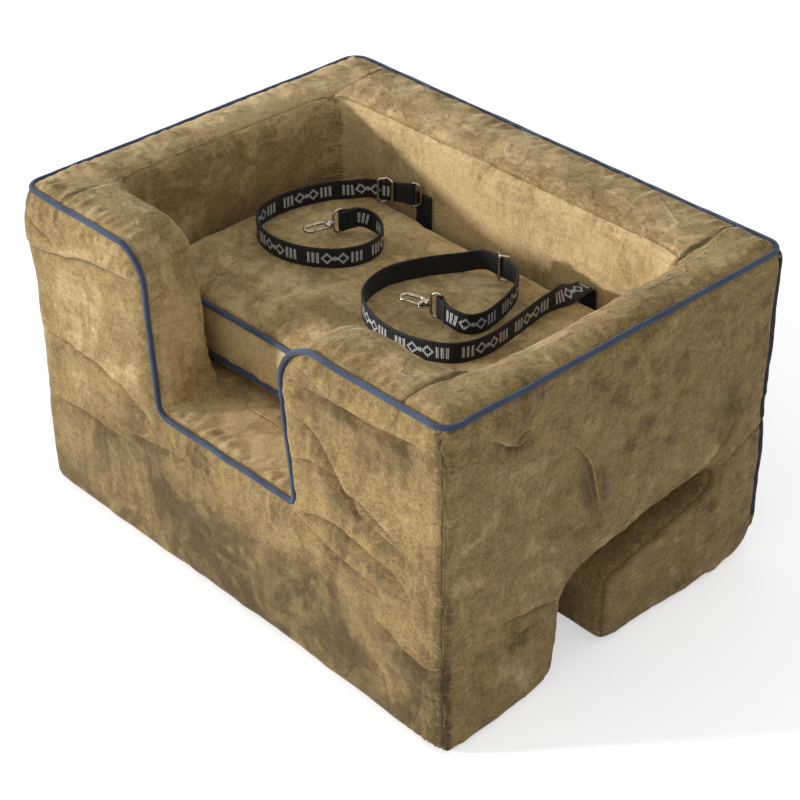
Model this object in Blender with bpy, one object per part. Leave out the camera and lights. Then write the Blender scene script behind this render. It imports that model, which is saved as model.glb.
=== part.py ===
"""A padded booster seat that lifts a small dog to window height in a car.

A foam body in a sewn cover stands on two feet with a seat belt slot between them. A box cushion
lies in the seat, and two tethers with swivel hooks come up behind it and lie on its top.
Metres, +Z up. The front faces -Y, and the origin is on the floor, below the body's middle.
"""

import math

import bmesh
import bpy
from mathutils import Matrix, Vector
from mathutils.bvhtree import BVHTree

# Body, over the cloth
BODY_WIDTH = 0.508
BODY_DEPTH = 0.381
BODY_HEIGHT = 0.300
BODY_CORNER_RADIUS = 0.006
FLOOR_EDGE_RADIUS = 0.006

# Cover and clearances
SKIN = 0.003
SEAM_LIP = 0.001
CLEARANCE = 0.0003
OVERRUN = 0.020
SLIVER = 0.00002
FACET_DEG = 15.0

# Seat
SIDE_WALL = 0.049
BACK_WALL = 0.071
FRONT_WALL = 0.065
SEAT_CORNER_RADIUS = 0.014
DECK_HEIGHT = 0.150

# Entrance notch in the front wall
NOTCH_LEFT = 0.083
NOTCH_RIGHT = 0.085
NOTCH_LEFT_LEAN = 0.009
NOTCH_RIGHT_LEAN = 0.016
NOTCH_LEFT_SILL_RADIUS = 0.010
NOTCH_RIGHT_SILL_RADIUS = 0.004
NOTCH_LEFT_SHOULDER_DROP = 0.010
NOTCH_RIGHT_SHOULDER_DROP = 0.014
NOTCH_SHOULDER_DEG = 16.0
NOTCH_LEFT_SHOULDER_RADIUS = 0.040
NOTCH_RIGHT_SHOULDER_RADIUS = 0.044

# Front leg, belt slot and foot, in profile
LEG_DEPTH = 0.1275
LEG_SPLIT_SHARE = 0.3
LEG_HEEL_RADIUS = 0.014
BEHIND_SLOT = 0.0705
DECK_THICKNESS = 0.0485
SLOT_ROOF_RISE = 0.0199
SLOT_ROOF_RADIUS = 0.040
SLOT_END_HEIGHT = 0.0239
SLOT_END_RADIUS = 0.0112
BELT_GAP = 0.053
BELT_OPENING = 0.0315
FOOT_TOP_RADIUS = 0.012
FOOT_TOE_RADIUS = 0.015
FOOT_HEEL_RADIUS = 0.042

# Rim piping
PIPING_RADIUS = 0.00275
PIPING_INSET = 0.0016
PIPING_SHOULDER_RADIUS = 0.010
PIPING_SIDES = 8
PIPING_CLEARANCE = 0.0005

# Box cushion
CUSHION_SIDE_PLAY = 0.0025
CUSHION_REAR_PLAY = 0.0042
CUSHION_FRONT_SETBACK = 0.0105
CUSHION_CORNER_RADIUS = 0.030
CUSHION_DRAW_IN = 0.003
CUSHION_BOTTOM_DROP = 0.012
BOXING_HEIGHT = 0.048
BOXING_BULGE = 0.0015
SHOULDER_RISE = 0.0165
SHOULDER_DEPTH = 0.024
SHOULDER_STEPS = 4
MIDDLE_RISE = 0.0035
CUSHION_CLOTH = 0.002
CUSHION_PIPING_RADIUS = 0.0024
CUSHION_TURNED_UNDER = 0.014
CUSHION_STEP = 0.062
CUSHION_FACET_DEG = 22.5
CUSHION_PIPING_SIDES = 6
MIDDLE_RING_SHARES = (0.80, 0.45)
BOXING_LEVELS = 3
UNDER_STEPS = 3

# Tether webbing
WEBBING_WIDTH = 0.019
WEBBING_THICKNESS = 0.0018
WEBBING_LIFT = 0.0006
ROUTE_STEPS = 2
FITTING_LIFT = 0.0036
FITTING_LEVEL = 0.016
FITTING_REACH = 0.036
TAIL_SETBACK = 0.0017
LOOP_LENGTH = 0.013
LOOP_NECK = 0.0065
LOOP_ARC_DEG = 110.0
LOOP_STEPS = 10
LOOP_PLAY = 0.0005

# Where the right tether leaves the crease flat and turns onto its edge
CREASE_START = 0.0125
CREASE_LIFT = 0.0054
CREASE_RADIUS = 0.006
CREASE_STEPS = 5
TWIST_LENGTH = 0.045

# Slider on the webbing
SLIDER_WIRE_RADIUS = 0.0011
SLIDER_LENGTH = 0.0155
SLIDER_WIDTH_PLAY = 0.0008
SLIDER_CORNER_RADIUS = 0.0022

# D ring and swivel hook
RING_WIRE_RADIUS = 0.0011
RING_REACH = 0.0085
RING_WIDTH_PLAY = 0.0007
RING_BAR_CORNER = 0.0020
RING_NOSE_CORNER = 0.0060
POST_RADIUS = 0.0015
POST_HEAD_RADIUS = 0.0023
POST_HEAD_LENGTH = 0.0014
BARREL_RADIUS = 0.0036
BARREL_LENGTH = 0.0050
BARREL_PLAY = 0.0004
HOOK_WIRE_RADIUS = 0.0016
HOOK_LENGTH = 0.0225
HOOK_HALF_WIDTH = 0.0065
HOOK_ROOT_DEPTH = 0.0010
HOOK_ROOT_ASIDE = 0.0026
HOOK_NECK = 0.0040
HOOK_NECK_RADIUS = 0.0040
HOOK_RETURN = 0.0020
GATE_RADIUS = 0.0010
GATE_PIVOT_FORWARD = 0.0005
GATE_PIVOT_ASIDE = 0.0054
GATE_TIP_GAP = 0.0004
GATE_ROOT_RADIUS = 0.0015
GATE_PIN_RADIUS = 0.0006
GATE_PIN_PLAY = 0.00015
EAR_HALF_LENGTH = 0.0020
EAR_MARGIN = 0.0016
EAR_THICKNESS = 0.0012
METAL_SIDES = 10
WIRE_SIDES = 6
METAL_FACET_DEG = 22.5

# Derived places
HALF_WIDTH = BODY_WIDTH / 2
FRONT = -BODY_DEPTH / 2
BACK = BODY_DEPTH / 2
SEAT_HALF_WIDTH = HALF_WIDTH - SIDE_WALL
SEAT_FRONT = FRONT + FRONT_WALL
SEAT_BACK = BACK - BACK_WALL
LEG_REAR = FRONT + LEG_DEPTH
SLOT_END = BACK - BEHIND_SLOT
FOOT_FRONT = LEG_REAR + BELT_GAP
SLOT_ROOF_FRONT = DECK_HEIGHT - DECK_THICKNESS
SLOT_ROOF_BACK = SLOT_ROOF_FRONT + SLOT_ROOF_RISE
SLOT_FLOOR_BACK = SLOT_ROOF_BACK - SLOT_END_HEIGHT
FOOT_HEIGHT = SLOT_ROOF_FRONT - BELT_OPENING
PANEL_DEPTH = SKIN + SEAM_LIP
FOAM_INSET = SKIN + CLEARANCE
FOAM_TOP_OF_DECK = DECK_HEIGHT - FOAM_INSET
CORD_BOTTOM = DECK_HEIGHT + CUSHION_BOTTOM_DROP
CORD_TOP = CORD_BOTTOM + BOXING_HEIGHT
CUSHION_HALF_WIDTH = SEAT_HALF_WIDTH - CUSHION_SIDE_PLAY - CUSHION_PIPING_RADIUS
CUSHION_FRONT = SEAT_FRONT + CUSHION_FRONT_SETBACK + CUSHION_PIPING_RADIUS
CUSHION_BACK = SEAT_BACK - CUSHION_REAR_PLAY - CUSHION_PIPING_RADIUS
CUSHION_MIDDLE = (CUSHION_FRONT + CUSHION_BACK) / 2
CUSHION_HALF_DEPTH = (CUSHION_BACK - CUSHION_FRONT) / 2
SHOULDER_INSET = CUSHION_PIPING_RADIUS + CLEARANCE + SHOULDER_DEPTH
ROUTE_BACK = SEAT_BACK - TAIL_SETBACK - CREASE_RADIUS
ROUTE_DEPTH = ROUTE_BACK - SEAT_FRONT
RING_HALF_HEIGHT = WEBBING_WIDTH / 2 + RING_WIDTH_PLAY + RING_WIRE_RADIUS
BARREL_START = RING_REACH + RING_WIRE_RADIUS + CLEARANCE
BARREL_END = BARREL_START + BARREL_LENGTH
HEAD_START = BARREL_END + CLEARANCE
HEAD_END = HEAD_START + POST_HEAD_LENGTH
HOOK_LANE = HOOK_HALF_WIDTH - HOOK_WIRE_RADIUS
NOSE_CENTRE = BARREL_END + HOOK_LENGTH - HOOK_HALF_WIDTH
GATE_PIVOT = Vector((BARREL_END + GATE_PIVOT_FORWARD, GATE_PIVOT_ASIDE, 0.0))
EAR_GAP = GATE_RADIUS + CLEARANCE

# Finishes: name, colour, roughness, metallic
SUEDE = ("suede_tan", (0.42, 0.28, 0.12), 0.9, 0.0)
BLACK_CLOTH = ("cloth_black", (0.02, 0.02, 0.022), 0.85, 0.0)
PIPING_BLUE = ("piping_blue", (0.07, 0.11, 0.21), 0.7, 0.0)
FOAM = ("foam_cream", (0.80, 0.76, 0.62), 0.95, 0.0)
WEBBING = ("webbing_black", (0.015, 0.015, 0.018), 0.75, 0.0)
NICKEL = ("nickel", (0.62, 0.58, 0.50), 0.25, 1.0)

# Tether routes in plan from the crease to the hook, as shares of the seat's half width and depth
TETHER_1_ROUTE = (
    (-0.4683, -0.0034),
    (-0.5024, -0.0202),
    (-0.5366, -0.0371),
    (-0.5707, -0.0539),
    (-0.6049, -0.0708),
    (-0.6390, -0.0877),
    (-0.6927, -0.1235),
    (-0.7463, -0.1804),
    (-0.7902, -0.2689),
    (-0.8146, -0.3869),
    (-0.7951, -0.5006),
    (-0.7220, -0.5765),
    (-0.6098, -0.6186),
    (-0.4878, -0.6228),
    (-0.3707, -0.5891),
    (-0.2780, -0.5217),
    (-0.2341, -0.4374),
    (-0.2439, -0.3531),
    (-0.2976, -0.2899),
    (-0.3707, -0.2562),
    (-0.4341, -0.2646),
    (-0.4732, -0.2984),
    (-0.4878, -0.3405),
)
TETHER_2_ROUTE = (
    (0.5376, 0.0000),
    (0.5385, -0.0308),
    (0.5415, -0.0729),
    (0.5473, -0.1361),
    (0.5610, -0.2394),
    (0.5854, -0.3616),
    (0.6049, -0.4753),
    (0.6049, -0.5765),
    (0.5659, -0.6608),
    (0.4878, -0.7113),
    (0.3610, -0.7408),
    (0.2390, -0.7366),
    (0.1268, -0.7071),
    (0.0341, -0.6523),
    (-0.0195, -0.5638),
    (-0.0293, -0.4669),
    (0.0049, -0.3700),
    (0.0488, -0.2878),
    (0.0902, -0.2183),
    (0.1317, -0.1719),
    (0.1732, -0.1542),
    (0.2098, -0.1530),
    (0.2439, -0.1530),
    (0.2780, -0.1530),
    (0.3146, -0.1542),
    (0.3610, -0.1740),
    (0.4049, -0.2204),
    (0.4463, -0.2941),
    (0.4732, -0.3784),
    (0.4829, -0.4543),
    (0.4537, -0.5091),
    (0.4000, -0.5301),
    (0.3512, -0.5259),
    (0.3073, -0.5091),
)
# The slider's place along each route as the index of a point, and the hook's way on from its end
TETHER_1_SLIDER_POINT = 3
TETHER_2_SLIDER_POINT = 22
TETHER_1_HOOK_WAY = (-0.25, -0.97)
TETHER_2_HOOK_WAY = (-0.95, -0.31)


def clear_scene():
    for obj in list(bpy.data.objects):
        bpy.data.objects.remove(obj, do_unlink=True)


def finish(obj, look):
    name, colour, roughness, metallic = look
    material = bpy.data.materials.new(obj.name + "_" + name)
    material.use_nodes = True
    shader = material.node_tree.nodes["Principled BSDF"]
    shader.inputs["Base Color"].default_value = (*colour, 1.0)
    shader.inputs["Roughness"].default_value = roughness
    shader.inputs["Metallic"].default_value = metallic
    obj.data.materials.clear()
    obj.data.materials.append(material)


def link(name, mesh):
    obj = bpy.data.objects.new(name, mesh)
    bpy.context.scene.collection.objects.link(obj)
    return obj


def discard(*objects):
    for obj in objects:
        bpy.data.objects.remove(obj, do_unlink=True)


def mesh_of(points, faces):
    """A closed mesh with its faces turned outwards."""
    mesh = bpy.data.meshes.new("solid")
    mesh.from_pydata([tuple(p) for p in points], [], faces)
    build = bmesh.new()
    build.from_mesh(mesh)
    bmesh.ops.recalc_face_normals(build, faces=build.faces)
    build.to_mesh(mesh)
    build.free()
    return mesh


def smooth(obj):
    obj.data.shade_smooth()
    obj.data.set_sharp_from_angle(angle=math.radians(2 * FACET_DEG))


# Outlines with rounded corners


def offset_corners(corners, inset):
    """Corners (a, b, radius) of a counterclockwise outline, moved inwards by inset."""
    count = len(corners)
    moved = []
    for i, (a, b, radius) in enumerate(corners):
        before = Vector(corners[i - 1][:2])
        here = Vector((a, b))
        after = Vector(corners[(i + 1) % count][:2])
        into = (here - before).normalized()
        out = (after - here).normalized()
        normal_in = Vector((-into.y, into.x))
        normal_out = Vector((-out.y, out.x))
        turn = into.x * out.y - into.y * out.x
        step = (normal_in + normal_out) * (inset / (1 + normal_in.dot(normal_out)))
        grown = radius - inset if turn > 0 else radius + inset
        moved.append((a + step.x, b + step.y, max(0.0, grown) if radius else 0.0))
    return moved


def fillet(before, here, after, radius, facet=FACET_DEG):
    """Points of the arc that rounds one corner, in the plane of its two edges."""
    into = (here - before).normalized()
    out = (after - here).normalized()
    turn = into.angle(out)
    if radius <= 0 or turn < math.radians(1):
        return [here]
    reach = radius * math.tan(turn / 2)
    start = here - into * reach
    across = (out - into * into.dot(out)).normalized()
    centre = start + across * radius
    steps = max(2, math.ceil(math.degrees(turn) / facet))
    points = []
    for k in range(steps + 1):
        angle = turn * k / steps
        points.append(centre + (into * math.sin(angle) - across * math.cos(angle)) * radius)
    return points


def rounded(corners, facet=FACET_DEG):
    """The outline's points, with an arc at each corner that has a radius."""
    count = len(corners)
    points = []
    for i, corner in enumerate(corners):
        before = Vector((*corners[i - 1][:2], 0.0))
        here = Vector((*corner[:2], 0.0))
        after = Vector((*corners[(i + 1) % count][:2], 0.0))
        points += fillet(before, here, after, corner[2], facet)
    return [(p.x, p.y) for p in points]


def rounded_path(corners, closed, facet=FACET_DEG):
    """Points along the line through corners (point, radius), with an arc at each."""
    count = len(corners)
    points = []
    for i, (here, radius) in enumerate(corners):
        after = corners[(i + 1) % count][0]
        inside = closed or 0 < i < count - 1
        points += fillet(corners[i - 1][0], here, after, radius if inside else 0.0, facet)
    return points


def prism(axis, outline, low, high):
    """A solid with this outline, from low to high along axis X, Y or Z."""
    place = {
        "X": lambda a, b, c: (c, a, b),
        "Y": lambda a, b, c: (a, c, b),
        "Z": lambda a, b, c: (a, b, c),
    }[axis]
    count = len(outline)
    points = [place(a, b, low) for a, b in outline] + [place(a, b, high) for a, b in outline]
    faces = [list(range(count)), list(range(count, 2 * count))]
    faces += [[i, (i + 1) % count, count + (i + 1) % count, count + i] for i in range(count)]
    return link("prism", mesh_of(points, faces))


def block(x, y, z):
    """A box between the two values of each axis."""
    return prism("Z", [(x[0], y[0]), (x[1], y[0]), (x[1], y[1]), (x[0], y[1])], z[0], z[1])


def combine(name, base, operation, *others, solver="EXACT"):
    """The base with each other solid cut, joined or kept in common, as a new object."""
    result = link(name, base.data.copy())
    result.matrix_world = base.matrix_world
    for other in others:
        modifier = result.modifiers.new(operation.lower(), "BOOLEAN")
        modifier.operation = operation
        modifier.object = other
        modifier.solver = solver
    graph = bpy.context.evaluated_depsgraph_get()
    mesh = bpy.data.meshes.new_from_object(result.evaluated_get(graph))
    result.modifiers.clear()
    result.data = mesh
    return result


# Body envelope


def side_corners():
    """The body's profile in (y, z): leg, belt slot, foot and back."""
    return [
        (FRONT, 0.0, FLOOR_EDGE_RADIUS),
        (LEG_REAR, 0.0, LEG_HEEL_RADIUS),
        (LEG_REAR, SLOT_ROOF_FRONT, SLOT_ROOF_RADIUS),
        (SLOT_END, SLOT_ROOF_BACK, SLOT_END_RADIUS),
        (SLOT_END, SLOT_FLOOR_BACK, SLOT_END_RADIUS),
        (FOOT_FRONT, FOOT_HEIGHT, FOOT_TOP_RADIUS),
        (FOOT_FRONT, 0.0, FOOT_TOE_RADIUS),
        (BACK, 0.0, FOOT_HEEL_RADIUS),
        (BACK, BODY_HEIGHT, 0.0),
        (FRONT, BODY_HEIGHT, 0.0),
    ]


def plan_corners():
    return [
        (-HALF_WIDTH, FRONT, BODY_CORNER_RADIUS),
        (HALF_WIDTH, FRONT, BODY_CORNER_RADIUS),
        (HALF_WIDTH, BACK, BODY_CORNER_RADIUS),
        (-HALF_WIDTH, BACK, BODY_CORNER_RADIUS),
    ]


def seat_corners():
    return [
        (-SEAT_HALF_WIDTH, SEAT_FRONT, SEAT_CORNER_RADIUS),
        (SEAT_HALF_WIDTH, SEAT_FRONT, SEAT_CORNER_RADIUS),
        (SEAT_HALF_WIDTH, SEAT_BACK, SEAT_CORNER_RADIUS),
        (-SEAT_HALF_WIDTH, SEAT_BACK, SEAT_CORNER_RADIUS),
    ]


def notch_corners():
    """The notch's opening in (x, z), with shoulders that slope up and out past the rim."""
    slope = math.tan(math.radians(NOTCH_SHOULDER_DEG))
    left = -NOTCH_LEFT - NOTCH_LEFT_LEAN
    right = NOTCH_RIGHT - NOTCH_RIGHT_LEAN
    left_rise = NOTCH_LEFT_SHOULDER_DROP + OVERRUN
    right_rise = NOTCH_RIGHT_SHOULDER_DROP + OVERRUN
    over = BODY_HEIGHT + OVERRUN
    return [
        (-NOTCH_LEFT, DECK_HEIGHT, NOTCH_LEFT_SILL_RADIUS),
        (NOTCH_RIGHT, DECK_HEIGHT, NOTCH_RIGHT_SILL_RADIUS),
        (right, BODY_HEIGHT - NOTCH_RIGHT_SHOULDER_DROP, NOTCH_RIGHT_SHOULDER_RADIUS),
        (right + right_rise / slope, over, 0.0),
        (left - left_rise / slope, over, 0.0),
        (left, BODY_HEIGHT - NOTCH_LEFT_SHOULDER_DROP, NOTCH_LEFT_SHOULDER_RADIUS),
    ]


def envelope(inset):
    """The body's outer shape with the seat and the notch cut out, moved inwards by inset."""
    wide = HALF_WIDTH + OVERRUN
    profile = prism("X", rounded(offset_corners(side_corners(), inset)), -wide, wide)
    plan = prism(
        "Z", rounded(offset_corners(plan_corners(), inset)), -OVERRUN, BODY_HEIGHT + OVERRUN
    )
    body = combine("body", profile, "INTERSECT", plan)
    seat = prism(
        "Z",
        rounded(offset_corners(seat_corners(), -inset)),
        DECK_HEIGHT - inset,
        BODY_HEIGHT + OVERRUN,
    )
    notch = prism(
        "Y",
        rounded(offset_corners(notch_corners(), -inset)),
        FRONT - OVERRUN,
        SEAT_FRONT + SEAT_CORNER_RADIUS + OVERRUN,
    )
    shaped = combine("envelope", body, "DIFFERENCE", seat, notch)
    discard(profile, plan, body, seat, notch)
    return shaped


# Rim piping


def piping_corners():
    """Corners (point, radius) of the closed loop round the rim and down round the notch."""
    top = BODY_HEIGHT - PIPING_INSET
    side = HALF_WIDTH - PIPING_INSET
    front = FRONT + PIPING_INSET
    back = BACK - PIPING_INSET
    turn = BODY_CORNER_RADIUS - PIPING_INSET
    moved = offset_corners(notch_corners(), -PIPING_INSET)
    sill_left, sill_right, right, right_out, left_out, left = moved
    slope = math.tan(math.radians(NOTCH_SHOULDER_DEG))
    right_top = right[0] + (top - right[1]) / slope
    left_top = left[0] - (top - left[1]) / slope
    return [
        (Vector((-side, front, top)), turn),
        (Vector((left_top, front, top)), PIPING_SHOULDER_RADIUS),
        (Vector((left[0], front, left[1])), left[2]),
        (Vector((sill_left[0], front, sill_left[1])), sill_left[2]),
        (Vector((sill_right[0], front, sill_right[1])), sill_right[2]),
        (Vector((right[0], front, right[1])), right[2]),
        (Vector((right_top, front, top)), PIPING_SHOULDER_RADIUS),
        (Vector((side, front, top)), turn),
        (Vector((side, back, top)), turn),
        (Vector((-side, back, top)), turn),
    ]


def tube(name, points, radius, closed=False, sides=PIPING_SIDES):
    """A round tube along the points, as a mesh."""
    curve = bpy.data.curves.new(name, "CURVE")
    curve.dimensions = "3D"
    curve.bevel_depth = radius
    curve.bevel_resolution = (sides - 4) // 2
    curve.use_fill_caps = not closed
    spline = curve.splines.new("POLY")
    spline.points.add(len(points) - 1)
    for knot, place in zip(spline.points, points):
        knot.co = (*place, 1.0)
    spline.use_cyclic_u = closed
    obj = link(name, curve)
    graph = bpy.context.evaluated_depsgraph_get()
    mesh = bpy.data.meshes.new_from_object(obj.evaluated_get(graph))
    discard(obj)
    build = bmesh.new()
    build.from_mesh(mesh)
    bmesh.ops.remove_doubles(build, verts=build.verts, dist=CLEARANCE / 100)
    bmesh.ops.recalc_face_normals(build, faces=build.faces)
    build.to_mesh(mesh)
    build.free()
    return link(name, mesh)


# Foam core


def slot_middle(y):
    """Height of the line halfway between the belt slot's floor and roof."""
    front = (FOOT_HEIGHT + SLOT_ROOF_FRONT) / 2
    back = (SLOT_FLOOR_BACK + SLOT_ROOF_BACK) / 2
    return front + (back - front) * (y - FOOT_FRONT) / (SLOT_END - FOOT_FRONT)


def foam_regions():
    """The solids that share out the foam: name and region."""
    half_gap = CLEARANCE / 2
    seat = SEAT_HALF_WIDTH + FOAM_INSET
    leg_split = LEG_REAR + SLOT_ROOF_RADIUS * LEG_SPLIT_SHARE
    top = FOAM_TOP_OF_DECK - half_gap
    above = (FOAM_TOP_OF_DECK + half_gap, BODY_HEIGHT)
    wide = (-HALF_WIDTH, HALF_WIDTH)
    inner = (-seat + half_gap, seat - half_gap)
    middle = (NOTCH_RIGHT - NOTCH_LEFT) / 2
    deck = [
        (leg_split + half_gap, slot_middle(leg_split) + half_gap),
        (BACK, slot_middle(BACK) + half_gap),
        (BACK, top),
        (leg_split + half_gap, top),
    ]
    foot = [
        (leg_split + half_gap, 0.0),
        (BACK, 0.0),
        (BACK, slot_middle(BACK) - half_gap),
        (leg_split + half_gap, slot_middle(leg_split) - half_gap),
    ]
    return {
        "foam_front_leg": block(wide, (FRONT, leg_split - half_gap), (0.0, top)),
        "foam_deck": prism("X", deck, *wide),
        "foam_foot": prism("X", foot, *wide),
        "foam_left_wall": block((-HALF_WIDTH, -seat - half_gap), (FRONT, BACK), above),
        "foam_right_wall": block((seat + half_gap, HALF_WIDTH), (FRONT, BACK), above),
        "foam_back_wall": block(inner, (SEAT_BACK, BACK), above),
        "foam_front_left_post": block((inner[0], middle), (FRONT, SEAT_FRONT), above),
        "foam_front_right_post": block((middle, inner[1]), (FRONT, SEAT_FRONT), above),
    }


def make_foam(channel):
    core = envelope(FOAM_INSET)
    for name, region in foam_regions().items():
        piece = combine(name, core, "INTERSECT", region)
        keep_channel_clear(piece, channel)
        finish(piece, FOAM)
        discard(region)
    discard(core)


# Cover


def grown_void(corners, reach):
    """The outline of an opening, moved outwards by reach."""
    return rounded(offset_corners(corners, -reach))


def shrunk(outline, amount):
    """A plain polygon moved inwards on all sides."""
    moved = offset_corners([(a, b, 0.0) for a, b in outline], amount)
    return [(a, b) for a, b, _ in moved]


def cross_range():
    """The width between the side panels' folded edges."""
    reach = HALF_WIDTH - PANEL_DEPTH - CLEARANCE / 2
    return -reach, reach


def outer_panel_regions():
    """Front, side and back panels, which meet at the vertical corners."""
    half_gap = CLEARANCE / 2
    out = OVERRUN
    lip = PANEL_DEPTH
    heights = (PANEL_DEPTH + half_gap, BODY_HEIGHT + out)
    front = [
        (-HALF_WIDTH - out, FRONT - out),
        (HALF_WIDTH + out, FRONT - out),
        (HALF_WIDTH - lip, FRONT + lip),
        (-HALF_WIDTH + lip, FRONT + lip),
    ]
    left = [
        (-HALF_WIDTH - out, FRONT - out),
        (-HALF_WIDTH + lip, FRONT + lip),
        (-HALF_WIDTH + lip, BACK - lip),
        (-HALF_WIDTH - out, BACK - lip),
    ]
    right = [(-x, y) for x, y in reversed(left)]
    return {
        "cover_front_panel": prism("Z", shrunk(front, half_gap), *heights),
        "cover_left_panel": prism("Z", shrunk(left, half_gap), *heights),
        "cover_right_panel": prism("Z", shrunk(right, half_gap), *heights),
        "cover_back_panel": back_region(),
    }


def back_region():
    """The back panel: the flat back, and the upper half of the foot's rounded heel."""
    half_gap = CLEARANCE / 2
    out = OVERRUN
    turn = FOOT_HEEL_RADIUS / 2
    wide = HALF_WIDTH + out
    flat = block(
        (-wide, wide),
        (BACK - PANEL_DEPTH + half_gap, BACK + out),
        (PANEL_DEPTH + half_gap, BODY_HEIGHT + out),
    )
    heel = [
        (BACK + out, -out),
        (BACK + out, FOOT_HEEL_RADIUS + half_gap),
        (BACK - PANEL_DEPTH, FOOT_HEEL_RADIUS + half_gap),
        (BACK - turn, turn),
    ]
    return joined(flat, prism("X", shrunk(heel, half_gap), *cross_range()))


def base_regions():
    """The two panels on the floor: under the leg, and under the foot with half its heel."""
    half_gap = CLEARANCE / 2
    out = OVERRUN
    wide = HALF_WIDTH + out
    middle = (LEG_REAR + FOOT_FRONT) / 2
    below = (-out, PANEL_DEPTH - half_gap)
    leg = [
        (FRONT - out, -out),
        (LEG_REAR + out, -out),
        (LEG_REAR - LEG_HEEL_RADIUS, LEG_HEEL_RADIUS),
        (FRONT + PANEL_DEPTH, PANEL_DEPTH),
    ]
    turn = FOOT_HEEL_RADIUS / 2
    foot = [
        (FOOT_FRONT - out, -out),
        (BACK + out, -out),
        (BACK - turn, turn),
        (FOOT_FRONT + FOOT_TOE_RADIUS, FOOT_TOE_RADIUS),
    ]
    leg_flat = block((-wide, wide), (FRONT - out, middle), below)
    foot_flat = block((-wide, wide), (middle, BACK + out), below)
    return {
        "cover_leg_base": joined(leg_flat, prism("X", shrunk(leg, half_gap), *cross_range())),
        "cover_foot_base": joined(foot_flat, prism("X", shrunk(foot, half_gap), *cross_range())),
    }


def slot_region():
    """The lining of the belt slot, from the leg's heel round to the foot's toe."""
    reach = 2 * PANEL_DEPTH
    floor = -OVERRUN
    opening = [
        (LEG_REAR, floor, 0.0),
        (FOOT_FRONT, floor, 0.0),
        (FOOT_FRONT, FOOT_HEIGHT, FOOT_TOP_RADIUS),
        (SLOT_END, SLOT_FLOOR_BACK, SLOT_END_RADIUS),
        (SLOT_END, SLOT_ROOF_BACK, SLOT_END_RADIUS),
        (LEG_REAR, SLOT_ROOF_FRONT, SLOT_ROOF_RADIUS),
    ]
    mouth = [
        (LEG_REAR - reach, reach, 0.0),
        (LEG_REAR + reach, -reach, 0.0),
        (FOOT_FRONT - reach, -reach, 0.0),
        (FOOT_FRONT + reach, reach, 0.0),
    ]
    around = mouth + offset_corners(opening, -reach)[2:]
    return prism("X", rounded(offset_corners(around, CLEARANCE / 2)), *cross_range())


def rim_regions(jamb):
    """The bands on top of the walls; the two front ones run down the notch as jambs."""
    half_gap = CLEARANCE / 2
    out = OVERRUN
    seam = SEAT_HALF_WIDTH - PANEL_DEPTH
    sides = HALF_WIDTH - PANEL_DEPTH - half_gap
    length = (FRONT + PANEL_DEPTH + half_gap, BACK - PANEL_DEPTH - half_gap)
    high = (BODY_HEIGHT - PANEL_DEPTH + half_gap, BODY_HEIGHT + out)
    front_depth = (length[0], SEAT_FRONT + SEAT_CORNER_RADIUS)
    back_depth = (SEAT_BACK - SEAT_CORNER_RADIUS, length[1])
    middle = (NOTCH_RIGHT - NOTCH_LEFT) / 2
    regions = {
        "rim_band_left": block((-sides, -seam - half_gap), length, high),
        "rim_band_right": block((seam + half_gap, sides), length, high),
        "rim_band_back": block((-seam + half_gap, seam - half_gap), back_depth, high),
    }
    above_sill = (DECK_HEIGHT + SEAM_LIP + half_gap, BODY_HEIGHT + out)
    for name, span in (
        ("rim_band_front_left", (-seam + half_gap, middle)),
        ("rim_band_front_right", (middle, seam - half_gap)),
    ):
        top = block(span, front_depth, high)
        side = block(span, (length[0], SEAT_FRONT + SEAM_LIP), above_sill)
        face = combine("face", side, "INTERSECT", jamb)
        regions[name] = joined(top, face)
        discard(side)
    return regions


def lining_regions(jamb_clear):
    """The lining of the seat, its deck, and the sill of the notch."""
    half_gap = CLEARANCE / 2
    reach = PANEL_DEPTH
    wide = SEAT_HALF_WIDTH + reach
    heights = (DECK_HEIGHT + SEAM_LIP + half_gap, BODY_HEIGHT - reach - half_gap)
    low = (DECK_HEIGHT - reach, DECK_HEIGHT + SEAM_LIP - half_gap)
    front_turn = SEAT_FRONT + SEAT_CORNER_RADIUS + SEAM_LIP
    back_turn = SEAT_BACK - SEAT_CORNER_RADIUS - SEAM_LIP
    between = (front_turn + half_gap, back_turn - half_gap)
    front_part = (SEAT_FRONT - reach, front_turn - half_gap)
    inside = SEAT_HALF_WIDTH - SEAT_CORNER_RADIUS
    middle = (NOTCH_RIGHT - NOTCH_LEFT) / 2
    sill_back = SEAT_FRONT - reach
    sill_front = FRONT + reach
    regions = {
        "lining_left": block((-wide, -inside), between, heights),
        "lining_right": block((inside, wide), between, heights),
        "lining_back": block((-wide, wide), (back_turn + half_gap, SEAT_BACK + reach), heights),
        "lining_deck": block((-wide, wide), (sill_back + half_gap, SEAT_BACK + reach), low),
        "notch_sill": block(
            (-NOTCH_LEFT - reach, NOTCH_RIGHT + reach),
            (sill_front + half_gap, sill_back - half_gap),
            low,
        ),
    }
    for name, span in (
        ("lining_front_left", (-wide, middle)),
        ("lining_front_right", (middle, wide)),
    ):
        whole = block(span, front_part, heights)
        regions[name] = combine("region", whole, "DIFFERENCE", jamb_clear)
        discard(whole)
    return regions


def joined(first, second):
    """Two overlapping regions as one."""
    both = combine("joined", first, "UNION", second)
    discard(first, second)
    return both


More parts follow.
